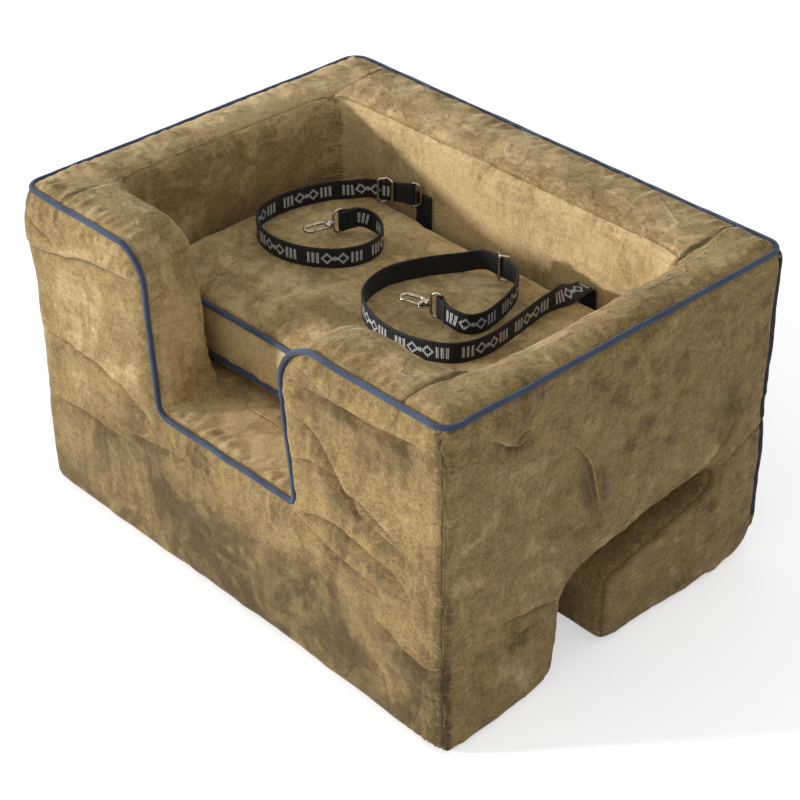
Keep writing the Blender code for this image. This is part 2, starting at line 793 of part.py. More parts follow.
def largest_body(obj):
    """Keeps the piece's main body, without crumbs and slivers that the cuts leave."""
    build = bmesh.new()
    build.from_mesh(obj.data)
    bmesh.ops.remove_doubles(build, verts=build.verts, dist=SLIVER)
    bmesh.ops.dissolve_degenerate(build, edges=build.edges, dist=SLIVER)
    left = set(build.verts)
    bodies = []
    while left:
        stack = [left.pop()]
        body = set(stack)
        while stack:
            for edge in stack.pop().link_edges:
                for vertex in edge.verts:
                    if vertex in left:
                        left.discard(vertex)
                        body.add(vertex)
                        stack.append(vertex)
        bodies.append(body)
    bodies.sort(key=len)
    spare = [vertex for body in bodies[:-1] for vertex in body]
    bmesh.ops.delete(build, geom=spare, context="VERTS")
    build.to_mesh(obj.data)
    build.free()


def keep_channel_clear(piece, channel):
    """Cuts the piping's channel out of the piece; the exact solver loses two pieces here."""
    cut = combine("cut", piece, "DIFFERENCE", channel, solver="MANIFOLD")
    piece.data = cut.data
    discard(cut)
    largest_body(piece)


def make_cover(channel):
    outer = envelope(0.0)
    inner = envelope(SKIN)
    shell = combine("shell", outer, "DIFFERENCE", inner)
    through = (FRONT - OVERRUN, SEAT_FRONT + SEAT_CORNER_RADIUS + OVERRUN)
    half_gap = CLEARANCE / 2
    jamb = prism("Y", grown_void(notch_corners(), PANEL_DEPTH - half_gap), *through)
    jamb_clear = prism("Y", grown_void(notch_corners(), PANEL_DEPTH + half_gap), *through)
    regions = outer_panel_regions()
    regions.update(base_regions())
    regions["belt_slot_lining"] = slot_region()
    regions.update(rim_regions(jamb))
    regions.update(lining_regions(jamb_clear))
    for name, region in regions.items():
        piece = combine(name, shell, "INTERSECT", region)
        keep_channel_clear(piece, channel)
        finish(piece, BLACK_CLOTH if name == "cover_back_panel" else SUEDE)
        discard(region)
    discard(outer, inner, shell, jamb, jamb_clear)


def make_body():
    path = rounded_path(piping_corners(), closed=True)
    piping = tube("rim_piping", path, PIPING_RADIUS, closed=True)
    finish(piping, PIPING_BLUE)
    smooth(piping)
    channel = tube("channel", path, PIPING_RADIUS + PIPING_CLEARANCE, closed=True)
    make_foam(channel)
    make_cover(channel)
    discard(channel)


# Box cushion


def subdivided(outline, step):
    """The closed outline with its longer stretches cut into even steps."""
    points = []
    for before, after in zip(outline, outline[1:] + outline[:1]):
        parts = math.ceil((after - before).length / step)
        points += [before.lerp(after, k / parts) for k in range(parts)]
    return points


def cushion_outline():
    """The seam line in plan: round corners, with the sides drawn in between them."""
    corners = [
        (-CUSHION_HALF_WIDTH, CUSHION_FRONT, CUSHION_CORNER_RADIUS),
        (CUSHION_HALF_WIDTH, CUSHION_FRONT, CUSHION_CORNER_RADIUS),
        (CUSHION_HALF_WIDTH, CUSHION_BACK, CUSHION_CORNER_RADIUS),
        (-CUSHION_HALF_WIDTH, CUSHION_BACK, CUSHION_CORNER_RADIUS),
    ]
    drawn = []
    outline = [Vector(p) for p in rounded(corners, CUSHION_FACET_DEG)]
    for point in subdivided(outline, CUSHION_STEP):
        u = point.x / CUSHION_HALF_WIDTH
        v = (point.y - CUSHION_MIDDLE) / CUSHION_HALF_DEPTH
        pull_x = CUSHION_DRAW_IN * u * abs(u) ** 3 * (1 - v * v)
        pull_y = CUSHION_DRAW_IN * v * abs(v) ** 3 * (1 - u * u)
        drawn.append(point - Vector((pull_x, pull_y)))
    return drawn


def inset_ring(outline, inset, height):
    """The outline moved inwards by inset, at one height."""
    count = len(outline)
    ring = []
    for i, point in enumerate(outline):
        along = (outline[(i + 1) % count] - outline[i - 1]).normalized()
        moved = point + Vector((-along.y, along.x)) * inset
        ring.append(Vector((moved.x, moved.y, height)))
    return ring


def scaled_ring(outline, inset, share, height):
    """A ring of the outline's inset shape, scaled towards the cushion's middle."""
    return [
        Vector((point.x * share, CUSHION_MIDDLE + (point.y - CUSHION_MIDDLE) * share, height))
        for point in inset_ring(outline, inset, height)
    ]


def loft(name, rings, closed=False):
    """A solid through rings of equal count, with flat-fanned ends or closed on itself."""
    count = len(rings[0])
    points = [p for ring in rings for p in ring]
    faces = []
    for k in range(len(rings) if closed else len(rings) - 1):
        low = k * count
        high = (k + 1) % len(rings) * count
        for i in range(count):
            j = (i + 1) % count
            faces.append([low + i, low + j, high + j, high + i])
    if not closed:
        for start in (0, len(rings) - 1):
            ring = rings[start]
            points.append(sum(ring, Vector()) / count)
            hub = len(points) - 1
            faces += [[hub, start * count + i, start * count + (i + 1) % count] for i in range(count)]
    obj = link(name, mesh_of(points, faces))
    smooth(obj)
    return obj


def under_rings(outline, offset):
    """Rings of the cushion's underside from its middle to the bottom cord, inset by offset."""
    seam = CUSHION_PIPING_RADIUS + CLEARANCE
    floor = DECK_HEIGHT + CLEARANCE + offset
    rings = []
    for share in reversed(MIDDLE_RING_SHARES):
        rings.append(scaled_ring(outline, CUSHION_TURNED_UNDER + offset, share, floor))
    for k in range(UNDER_STEPS + 1):
        angle = math.radians(90) * (1 - k / UNDER_STEPS)
        inset = seam + offset + (CUSHION_TURNED_UNDER - seam) * (1 - math.cos(angle))
        height = floor + (CORD_BOTTOM - floor) * (1 - math.sin(angle))
        rings.append(inset_ring(outline, inset, height))
    return rings


def top_rings(outline, offset):
    """Rings of the cushion's top from the top cord to its middle, inset and lowered by offset."""
    seam = CUSHION_PIPING_RADIUS + CLEARANCE + offset
    rise = SHOULDER_RISE - offset
    rings = []
    for k in range(SHOULDER_STEPS + 1):
        angle = math.radians(90) * k / SHOULDER_STEPS
        inset = seam + SHOULDER_DEPTH * (1 - math.cos(angle))
        rings.append(inset_ring(outline, inset, CORD_TOP + rise * math.sin(angle)))
    for share in MIDDLE_RING_SHARES:
        height = CORD_TOP + rise + MIDDLE_RISE * (1 - share * share)
        rings.append(scaled_ring(outline, seam + SHOULDER_DEPTH, share, height))
    return rings


def boxing_rings(outline, offset):
    """Rings of the boxing from the bottom cord to the top cord, bulging between them."""
    margin = CUSHION_PIPING_RADIUS + CLEARANCE
    low = CORD_BOTTOM + margin
    high = CORD_TOP - margin
    rings = []
    for k in range(BOXING_LEVELS + 1):
        share = k / BOXING_LEVELS
        bulge = BOXING_BULGE * 4 * share * (1 - share)
        rings.append(inset_ring(outline, offset - bulge, low + (high - low) * share))
    return rings


def make_cushion():
    outline = cushion_outline()
    cloth = CUSHION_CLOTH
    core = cloth + CLEARANCE
    foam = loft(
        "cushion_foam",
        under_rings(outline, core) + boxing_rings(outline, core) + top_rings(outline, core),
    )
    finish(foam, FOAM)
    top = loft("cushion_top_panel", top_rings(outline, cloth)[::-1] + top_rings(outline, 0.0))
    finish(top, SUEDE)
    bottom = loft("cushion_bottom_panel", under_rings(outline, 0.0) + under_rings(outline, cloth)[::-1])
    finish(bottom, SUEDE)
    boxing = loft(
        "cushion_boxing",
        boxing_rings(outline, 0.0) + boxing_rings(outline, cloth)[::-1],
        closed=True,
    )
    finish(boxing, SUEDE)
    for name, height in (("cushion_piping_bottom", CORD_BOTTOM), ("cushion_piping_top", CORD_TOP)):
        ring = inset_ring(outline, 0.0, height)
        cord = tube(name, ring, CUSHION_PIPING_RADIUS, closed=True, sides=CUSHION_PIPING_SIDES)
        finish(cord, PIPING_BLUE)
        smooth(cord)


# Tether routes


def curve_points(route, steps):
    """Points on a smooth curve through the route, this many to each stretch."""
    points = []
    last = len(route) - 1
    for i in range(last):
        p0 = route[max(i - 1, 0)]
        p1 = route[i]
        p2 = route[i + 1]
        p3 = route[min(i + 2, last)]
        for k in range(steps):
            t = k / steps
            pull = p2 - p0 + (2 * p0 - 5 * p1 + 4 * p2 - p3) * t + (3 * p1 - p0 - 3 * p2 + p3) * t * t
            points.append(p1 + pull * (t / 2))
    points.append(route[last])
    return points


def ease(share):
    """Rises smoothly from 0 to 1 as the share does."""
    share = min(1.0, max(0.0, share))
    return share * share * (3 - 2 * share)


def cushion_surface():
    top = bpy.data.objects["cushion_top_panel"].data
    return BVHTree.FromPolygons([v.co for v in top.vertices], [p.vertices for p in top.polygons])


def crest(surface, point):
    """Height of the cushion under a point, or of its shoulder behind a point at the crease."""
    y = min(point.y, CUSHION_BACK - SHOULDER_INSET)
    hit = surface.ray_cast(Vector((point.x, y, BODY_HEIGHT)), Vector((0.0, 0.0, -1.0)))
    return hit[0].z


def tether_line(surface, route, slider_point, crease_turn):
    """The webbing's middle line, each point with the way that its upper edge lies."""
    plan = [Vector((x * SEAT_HALF_WIDTH, ROUTE_BACK + y * ROUTE_DEPTH)) for x, y in route]
    fittings = (plan[slider_point], plan[-1]) + (() if crease_turn else (plan[0],))
    line = []
    run = 0.0
    points = curve_points(plan, ROUTE_STEPS)
    for i, point in enumerate(points):
        run += (point - points[i - 1]).length if i else 0.0
        turn = math.radians(90) * (ease(run / TWIST_LENGTH) if crease_turn else 1.0)
        away = min((point - fitting).length for fitting in fittings)
        raised = FITTING_LIFT * ease((FITTING_REACH - away) / (FITTING_REACH - FITTING_LEVEL))
        half = CREASE_LIFT + (WEBBING_WIDTH / 2 - CREASE_LIFT) * math.sin(turn)
        height = crest(surface, point) + WEBBING_LIFT + half + raised
        edge = Vector((-math.cos(turn), 0.0, math.sin(turn)))
        line.append((Vector((point.x, point.y, height)), edge))
    return line


def crease_rise(first):
    """The webbing straight up out of the crease and bent over to where the route starts."""
    back = SEAT_BACK - TAIL_SETBACK
    centre = first.z - CREASE_RADIUS
    rise = [Vector((first.x, back, CORD_TOP + CREASE_START))]
    for k in range(CREASE_STEPS):
        angle = math.radians(90) * k / CREASE_STEPS
        y = back - CREASE_RADIUS * (1 - math.cos(angle))
        rise.append(Vector((first.x, y, centre + CREASE_RADIUS * math.sin(angle))))
    return [(point, Vector((-1.0, 0.0, 0.0))) for point in rise]


def trimmed(line, length):
    """The line without its first stretch of this length."""
    left = length
    for k, ((here, edge), (after, _)) in enumerate(zip(line, line[1:])):
        step = (after - here).length
        if step > left:
            return [(here.lerp(after, left / step), edge)] + line[k + 1 :]
        left -= step
    return line[-1:]


def strap(name, line, start_way, end_way):
    """Flat webbing along the line, its two ends square to the given ways."""
    ways = [after[0] - before[0] for before, after in zip(line, line[2:])]
    rings = []
    for (point, edge), way in zip(line, [start_way] + ways + [end_way]):
        along = way.normalized()
        across = (edge - along * edge.dot(along)).normalized() * (WEBBING_WIDTH / 2)
        out = along.cross(across).normalized() * (WEBBING_THICKNESS / 2)
        ring = [across + out, -across + out, -across - out, across - out]
        rings.append([point + corner for corner in ring])
    webbing = loft(name, rings)
    finish(webbing, WEBBING)


# Tether fittings, each in its own frame: X onwards, Y aside and Z along the webbing's width


def frame_at(origin, onwards, up):
    """The frame at a point that looks onwards, with Z as near to up as it can be."""
    x = onwards.normalized()
    z = (up - x * up.dot(x)).normalized()
    frame = Matrix((x, z.cross(x), z)).transposed().to_4x4()
    frame.translation = origin
    return frame


def place(obj, frame, pivot, look):
    """Puts a fitting in its frame, with its origin on the pivot."""
    obj.data.transform(Matrix.Translation(-pivot))
    obj.matrix_world = frame @ Matrix.Translation(pivot)
    finish(obj, look)
    smooth(obj)


def rod(axis, a, b, radius, low, high):
    """A round bar along an axis."""
    turn = 2 * math.pi / METAL_SIDES
    outline = [
        (a + radius * math.cos(k * turn), b + radius * math.sin(k * turn))
        for k in range(METAL_SIDES)
    ]
    return prism(axis, outline, low, high)


def wire(corners, radius, closed):
    points = rounded_path(corners, closed, METAL_FACET_DEG)
    return tube("wire", points, radius, closed=closed, sides=WIRE_SIDES)


def ring_wire():
    """The D ring: a straight bar in the webbing's fold and a rounded nose ahead of it."""
    high = RING_HALF_HEIGHT
    corners = [
        (Vector((0.0, 0.0, -high)), RING_BAR_CORNER),
        (Vector((RING_REACH, 0.0, -high)), RING_NOSE_CORNER),
        (Vector((RING_REACH, 0.0, high)), RING_NOSE_CORNER),
        (Vector((0.0, 0.0, high)), RING_BAR_CORNER),
    ]
    return wire(corners, RING_WIRE_RADIUS, closed=True)


def make_loop(name, frame):
    """The webbing folded round a ring's bar and sewn down behind it."""
    outer = RING_WIRE_RADIUS + LOOP_PLAY + WEBBING_THICKNESS
    outline = [(-LOOP_LENGTH, -WEBBING_THICKNESS), (-LOOP_NECK, -WEBBING_THICKNESS)]
    for k in range(LOOP_STEPS + 1):
        angle = math.radians(LOOP_ARC_DEG) * (2 * k / LOOP_STEPS - 1)
        outline.append((outer * math.cos(angle), outer * math.sin(angle)))
    outline += [(-LOOP_NECK, WEBBING_THICKNESS), (-LOOP_LENGTH, WEBBING_THICKNESS)]
    high = WEBBING_WIDTH / 2
    fold = prism("Z", outline, -high, high)
    hole = rod("Z", 0.0, 0.0, RING_WIRE_RADIUS + LOOP_PLAY, -WEBBING_WIDTH, WEBBING_WIDTH)
    loop = combine(name, fold, "DIFFERENCE", hole)
    discard(fold, hole)
    place(loop, frame, Vector(), WEBBING)


def make_ring(name, frame):
    ring = ring_wire()
    ring.name = name
    place(ring, frame, Vector(), NICKEL)


def make_eye(name, frame):
    """The D ring with the post and head that the hook swivels on."""
    ring = ring_wire()
    post = rod("X", 0.0, 0.0, POST_RADIUS, RING_REACH, HEAD_END)
    head = rod("X", 0.0, 0.0, POST_HEAD_RADIUS, HEAD_START, HEAD_END)
    eye = combine(name, ring, "UNION", post, head)
    discard(ring, post, head)
    place(eye, frame, Vector(), NICKEL)


def ears():
    """The two plates that hold the gate's pin."""
    along = (GATE_PIVOT.x - EAR_HALF_LENGTH, GATE_PIVOT.x + EAR_HALF_LENGTH)
    aside = (0.0, GATE_PIVOT.y + EAR_MARGIN)
    far = EAR_GAP + EAR_THICKNESS
    return [block(along, aside, (EAR_GAP, far)), block(along, aside, (-far, -EAR_GAP))]


def pin_rod(radius, reach):
    return rod("Z", GATE_PIVOT.x, GATE_PIVOT.y, radius, -reach, reach)


def make_hook(name, frame):
    """The barrel round the post, the bent wire, and the ears of the gate."""
    corners = [
        (Vector((BARREL_END - HOOK_ROOT_DEPTH, -HOOK_ROOT_ASIDE, 0.0)), 0.0),
        (Vector((BARREL_END + HOOK_NECK, -HOOK_LANE, 0.0)), HOOK_NECK_RADIUS),
        (Vector((NOSE_CENTRE + HOOK_LANE, -HOOK_LANE, 0.0)), HOOK_LANE),
        (Vector((NOSE_CENTRE + HOOK_LANE, HOOK_LANE, 0.0)), HOOK_LANE),
        (Vector((NOSE_CENTRE - HOOK_RETURN, HOOK_LANE, 0.0)), 0.0),
    ]
    bent = wire(corners, HOOK_WIRE_RADIUS, closed=False)
    barrel = rod("X", 0.0, 0.0, BARREL_RADIUS, BARREL_START, BARREL_END)
    plates = ears()
    solid = combine("solid", barrel, "UNION", bent, *plates)
    bore = rod("X", 0.0, 0.0, POST_RADIUS + BARREL_PLAY, 0.0, NOSE_CENTRE)
    room = rod("X", 0.0, 0.0, POST_HEAD_RADIUS + BARREL_PLAY, BARREL_END, HEAD_END + BARREL_PLAY)
    hole = pin_rod(GATE_PIN_RADIUS + GATE_PIN_PLAY, BARREL_LENGTH)
    hook = combine(name, solid, "DIFFERENCE", bore, room, hole)
    discard(bent, barrel, solid, bore, room, hole, *plates)
    place(hook, frame, Vector((BARREL_START, 0.0, 0.0)), NICKEL)


def make_gate(name, frame):
    """The gate's bar with its round root, and the pin through it."""
    tip = Vector((NOSE_CENTRE - HOOK_RETURN - GATE_TIP_GAP, HOOK_LANE, 0.0))
    bar = wire([(GATE_PIVOT, 0.0), (tip, 0.0)], GATE_RADIUS, closed=False)
    root = pin_rod(GATE_ROOT_RADIUS, GATE_RADIUS)
    solid = combine("solid", root, "UNION", bar)
    hole = pin_rod(GATE_PIN_RADIUS + GATE_PIN_PLAY, BARREL_LENGTH)
    gate = combine(name, solid, "DIFFERENCE", hole)
    discard(bar, root, solid, hole)
    place(gate, frame, GATE_PIVOT, NICKEL)
    pin = pin_rod(GATE_PIN_RADIUS, EAR_GAP + EAR_THICKNESS)
    pin.name = name + "_pin"
    place(pin, frame, GATE_PIVOT, NICKEL)


def make_slider(name, frame):
    """A frame whose end bars pass on one side of the webbing and its middle bar on the other."""
    end = SLIDER_LENGTH / 2 - SLIDER_WIRE_RADIUS
    aside = WEBBING_THICKNESS / 2 + CLEARANCE + SLIDER_WIRE_RADIUS
    high = WEBBING_WIDTH / 2 + SLIDER_WIDTH_PLAY + SLIDER_WIRE_RADIUS
    turn = SLIDER_CORNER_RADIUS
    corners = [
        (Vector((-end, aside, -high)), turn),
        (Vector((-end, aside, high)), turn),
        (Vector((0.0, -aside, high)), turn),
        (Vector((end, aside, high)), turn),
        (Vector((end, aside, -high)), turn),
        (Vector((0.0, -aside, -high)), turn),
    ]
    border = wire(corners, SLIDER_WIRE_RADIUS, closed=True)
    middle = rod("Z", 0.0, -aside, SLIDER_WIRE_RADIUS, -high, high)
    slider = combine(name, border, "UNION", middle)
    discard(border, middle)
    place(slider, frame, Vector(), NICKEL)


def make_tail(name, x, top):
    """The hidden stretch of webbing that comes up behind the cushion."""
    y = SEAT_BACK - TAIL_SETBACK
    wide = WEBBING_WIDTH / 2
    thick = WEBBING_THICKNESS / 2
    base = DECK_HEIGHT + CLEARANCE
    tail = block((x - wide, x + wide), (y - thick, y + thick), (base, top))
    tail.name = name
    finish(tail, WEBBING)


# Tethers


def slider_frame(line, slider_point):
    before, _ = line[slider_point * ROUTE_STEPS - 1]
    here, edge = line[slider_point * ROUTE_STEPS]
    after, _ = line[slider_point * ROUTE_STEPS + 1]
    return frame_at(here, after - before, edge)


def make_hook_end(prefix, line, way):
    """The sewn end, the swivel eye, the hook and its gate; gives back the webbing left."""
    bar, edge = line[-1]
    webbing = trimmed(line[::-1], LOOP_LENGTH + CLEARANCE)[::-1]
    sewn = frame_at(bar, bar - webbing[-1][0], edge)
    up = sewn.to_3x3().col[2]
    onwards = Vector((*way, 0.0))
    swung = frame_at(bar, onwards - up * onwards.dot(up), up)
    make_loop(prefix + "_end_loop", sewn)
    make_eye(prefix + "_eye", swung)
    make_hook(prefix + "_hook", swung)
    make_gate(prefix + "_gate", swung)
    return webbing


def make_left_tether(surface):
    line = tether_line(surface, TETHER_1_ROUTE, TETHER_1_SLIDER_POINT, crease_turn=False)
    make_slider("tether_1_slider", slider_frame(line, TETHER_1_SLIDER_POINT))
    webbing = make_hook_end("tether_1", line, TETHER_1_HOOK_WAY)
    bar, edge = line[0]
    webbing = trimmed(webbing, LOOP_LENGTH + CLEARANCE)
    anchor = frame_at(bar, bar - webbing[0][0], edge)
    make_loop("tether_1_ring_loop", anchor)
    make_ring("tether_1_ring", anchor)
    strap("tether_1_webbing", webbing, webbing[0][0] - bar, line[-1][0] - webbing[-1][0])
    make_tail("tether_1_tail", bar.x + RING_REACH, bar.z)


def make_right_tether(surface):
    line = tether_line(surface, TETHER_2_ROUTE, TETHER_2_SLIDER_POINT, crease_turn=True)
    make_slider("tether_2_slider", slider_frame(line, TETHER_2_SLIDER_POINT))
    webbing = make_hook_end("tether_2", line, TETHER_2_HOOK_WAY)
    rise = crease_rise(webbing[0][0])
    upwards = rise[1][0] - rise[0][0]
    strap("tether_2_webbing", rise + webbing, upwards, line[-1][0] - webbing[-1][0])
    make_tail("tether_2_tail", rise[0][0].x, rise[0][0].z - CLEARANCE)


def make_tethers():
    surface = cushion_surface()
    make_left_tether(surface)
    make_right_tether(surface)


def main():
    clear_scene()
    make_body()
    make_cushion()
    make_tethers()


if __name__ == "__main__":
    main()
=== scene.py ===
"""The looks of a dog's car seat: a foam block in suede with a lift-out cushion and two tethers.

Every size is in metres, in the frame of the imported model: X to the right along the front face,
Y to the back, Z up, with the origin on the floor under the middle of the seat.
"""

import logging
import math
from dataclasses import dataclass
from enum import Enum
from typing import Callable, Sequence

import bmesh
import bpy
import numpy as np
from bpy.types import Material, Mesh, Node, NodeSocket, NodeTree, Object
from mathutils import Matrix, Vector
from mathutils.bvhtree import BVHTree
from mathutils.kdtree import KDTree


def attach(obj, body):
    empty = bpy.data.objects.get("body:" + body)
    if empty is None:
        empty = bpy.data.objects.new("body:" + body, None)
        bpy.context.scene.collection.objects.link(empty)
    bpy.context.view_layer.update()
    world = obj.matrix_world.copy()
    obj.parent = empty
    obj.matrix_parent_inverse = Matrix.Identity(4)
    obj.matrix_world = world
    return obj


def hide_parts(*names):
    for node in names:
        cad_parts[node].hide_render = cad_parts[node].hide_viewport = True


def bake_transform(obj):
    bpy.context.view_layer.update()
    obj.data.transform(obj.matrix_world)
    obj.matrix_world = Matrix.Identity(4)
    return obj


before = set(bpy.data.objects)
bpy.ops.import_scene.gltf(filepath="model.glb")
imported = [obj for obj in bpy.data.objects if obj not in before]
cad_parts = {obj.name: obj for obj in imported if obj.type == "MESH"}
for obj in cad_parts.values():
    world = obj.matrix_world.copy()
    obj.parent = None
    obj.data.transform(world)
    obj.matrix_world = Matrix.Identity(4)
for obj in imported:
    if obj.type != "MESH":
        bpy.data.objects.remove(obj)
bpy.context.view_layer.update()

LOG = logging.getLogger("car_seat")
SEAT_HALF_WIDTH = 0.205
SEAT_FRONT = -0.1255
SEAT_BACK = 0.1195
CUSHION_HIGH_CORD = 0.210
NOTCH_SLOPE = math.tan(math.radians(16.0))
X_WAY, Y_WAY, Z_WAY = Vector((1.0, 0.0, 0.0)), Vector((0.0, 1.0, 0.0)), Vector((0.0, 0.0, 1.0))
Array = np.ndarray
Corner = tuple[Sequence[float], float]
Spot = tuple[float, float, float]


# Colours and finishes


class Tone(Enum):
    """Named colours of the object, as linear red, green and blue."""

    SUEDE_LIGHT = (0.650, 0.480, 0.238)
    SUEDE_MID = (0.410, 0.285, 0.119)
    SUEDE_DARK = (0.122, 0.081, 0.036)
    SUEDE_SHADE = (0.020, 0.012, 0.005)
    # A greyer brown for the darker patches low on the cover.
    SOIL = (0.175, 0.125, 0.065)
    PIPING = (0.027, 0.042, 0.088)
    PIPING_WORN = (0.076, 0.106, 0.176)
    CLOTH = (0.012, 0.012, 0.014)
    CLOTH_PALE = (0.035, 0.035, 0.040)
    WEBBING = (0.003, 0.003, 0.003)
    WEBBING_RIB = (0.017, 0.016, 0.015)
    PRINT = (0.600, 0.610, 0.630)
    THREAD = (0.020, 0.020, 0.023)
    NICKEL = (0.500, 0.445, 0.360)
    NICKEL_DULL = (0.210, 0.180, 0.140)

    @property
    def rgba(self) -> tuple[float, float, float, float]:
        """The colour with full alpha."""
        return (*self.value, 1.0)


class Nodes:
    """A thin hand for building one node tree."""

    def __init__(self, tree: NodeTree) -> None:
        """Keeps the tree that the nodes go into."""
        self.tree = tree

    def feed(self, socket: NodeSocket, value: object) -> None:
        """Links a socket into another, or sets a plain value on it.

        Args:
            socket: The input.
            value: A socket or a plain value.
        """
        if isinstance(value, NodeSocket):
            self.tree.links.new(value, socket)
        else:
            socket.default_value = value

    def add(self, kind: str, feeds: dict[str | int, object] | None = None, **settings: object) -> Node:
        """Adds a node.

        Args:
            kind: The node's type name.
            feeds: Its inputs, each with a socket or a plain value.
            settings: Attributes to set on it.

        Returns:
            The new node.
        """
        node = self.tree.nodes.new(kind)
        for name, value in settings.items():
            setattr(node, name, value)
        for key, value in (feeds or {}).items():
            self.feed(node.inputs[key], value)
        return node

    def math(self, operation: str, *values: object) -> NodeSocket:
        """A Math node's result."""
        return self.add("ShaderNodeMath", dict(enumerate(values)), operation=operation).outputs[0]

    def times(self, first: object, second: object) -> NodeSocket:
        """The product of two values."""
        return self.math("MULTIPLY", first, second)

    def plus(self, first: object, second: object) -> NodeSocket:
        """The sum of two values."""
        return self.math("ADD", first, second)

    def weighed(self, *layers: tuple[object, float]) -> NodeSocket:
        """The sum of the layers (value, share), each times its share.

        Args:
            layers: The layers (value, share).

        Returns:
            The sum's socket.
        """
        total = self.times(*layers[0])
        for layer in layers[1:]:
            total = self.plus(total, self.times(*layer))
        return total

    def mix(self, share: object, first: object, second: object) -> NodeSocket:
        """A colour mix from first to second, each a socket or a Tone.

        Args:
            share: How far the mix goes towards the second.
            first: The first colour.
            second: The second colour.

        Returns:
            The mixed colour's socket.
        """
        ends = [item.rgba if isinstance(item, Tone) else item for item in (first, second)]
        feeds = {"Factor": share, "A": ends[0], "B": ends[1]}
        return self.add("ShaderNodeMix", feeds, data_type="RGBA").outputs["Result"]

    def noise(self, vector: object, scale: object, detail: float = 2.0, rough: float = 0.5,
              twist: float = 0.0) -> NodeSocket:
        """A noise texture's value on the vector."""
        feeds = {"Vector": vector, "Scale": scale, "Detail": detail, "Roughness": rough, "Distortion": twist}
        return self.add("ShaderNodeTexNoise", feeds).outputs["Fac"]

    def between(self, value: object, low: float, high: float, out_low: float = 0.0,
                out_high: float = 1.0) -> NodeSocket:
        """A smooth map of the value from low..high to out_low..out_high."""
        feeds = dict(enumerate((value, low, high, out_low, out_high)))
        return self.add("ShaderNodeMapRange", feeds, interpolation_type="SMOOTHSTEP").outputs["Result"]

    def stretched(self, vector: object, scale: Sequence[float],
                  turn: Sequence[float] = (0.0, 0.0, 0.0)) -> NodeSocket:
        """The vector scaled and turned by a Mapping node."""
        feeds = {"Vector": vector, "Scale": scale, "Rotation": turn}
        return self.add("ShaderNodeMapping", feeds).outputs["Vector"]


def shader_group(name: str, inputs: Sequence[str], outputs: Sequence[str]) -> tuple[Nodes, object, object]:
    """Starts a shader node group, whose sockets are plain values, but for Vector.

    Args:
        name: The group's name.
        inputs: The names of its inputs.
        outputs: The names of its outputs.

    Returns:
        The node hand, the inputs to read from, and the outputs to feed.
    """
    tree = bpy.data.node_groups.new(name, "ShaderNodeTree")
    for side, labels in (("INPUT", inputs), ("OUTPUT", outputs)):
        for label in labels:
            kind = "NodeSocketVector" if label == "Vector" else "NodeSocketFloat"
            tree.interface.new_socket(label, in_out=side, socket_type=kind)
    hand = Nodes(tree)
    return hand, hand.add("NodeGroupInput").outputs, hand.add("NodeGroupOutput").inputs


def nap_group() -> NodeTree:
    """Brushed nap: broad mottled patches, streaks where a hand has passed, and a fine grain.

    Returns:
        The group, with the nap's Tone, its Grain, a Height and fine Wrinkle lines.
    """
    masks = ("Tone", "Grain", "Height", "Wrinkle")
    hand, start, end = shader_group("brushed_nap", ("Vector", "Contrast"), masks)
    vector = start["Vector"]

    def layer(scale: Sequence[float], turn: Sequence[float], *texture: float) -> NodeSocket:
        """A noise on the vector, stretched and turned."""
        return hand.noise(hand.stretched(vector, scale, turn), *texture)

    broad = layer((1.0, 0.9, 1.25), (0.3, 0.4, 0.2), 7.5, 3.0, 0.50, 1.6)
    patch = hand.between(layer((1.0, 0.8, 0.6), (0.2, 0.5, 0.3), 17.0, 4.0, 0.55, 2.2), 0.45, 0.55)
    streak = layer((1.0, 1.0, 0.10), (0.45, 0.55, 0.0), 120.0, 3.0, 0.6, 0.3)
    stroke = layer((0.10, 0.7, 1.0), (0.0, 0.4, 0.5), 120.0, 3.0, 0.6, 0.3)
    cloud = layer((1.0, 0.6, 0.8), (0.4, 0.0, 0.7), 60.0, 6.0, 0.72, 0.8)
    speckle = layer((1.0, 0.7, 1.0), (0.5, 0.2, 0.1), 150.0, 3.0, 0.75, 0.5)
    fibre = layer((1.0, 1.0, 0.4), (0.0, 0.0, 0.0), 2200.0, 1.0, 0.5)
    grain = hand.noise(vector, 420.0, 3.0, 0.80)
    total = hand.weighed((broad, 0.46), (patch, 0.07), (streak, 0.15), (stroke, 0.14), (cloud, 0.18))
    tone = hand.plus(hand.times(hand.math("SUBTRACT", total, 0.5), start["Contrast"]), 0.5)
    place = hand.stretched(vector, (1.0, 1.0, 0.55), (0.3, 0.7, 0.4))
    cells = hand.add("ShaderNodeTexVoronoi", {"Vector": place, "Scale": 17.0}, feature="DISTANCE_TO_EDGE")
    line = hand.between(cells.outputs["Distance"], 0.022, 0.0)
    kept = hand.between(hand.noise(vector, 15.0, 2.0, 0.5, 0.5), 0.54, 0.66)
    hand.feed(end["Tone"], tone)
    hand.feed(end["Grain"], hand.weighed((grain, 0.50), (speckle, 0.32), (fibre, 0.18)))
    hand.feed(end["Height"], hand.weighed((grain, 0.5), (cloud, 0.9)))
    hand.feed(end["Wrinkle"], hand.times(line, kept))
    return hand.tree


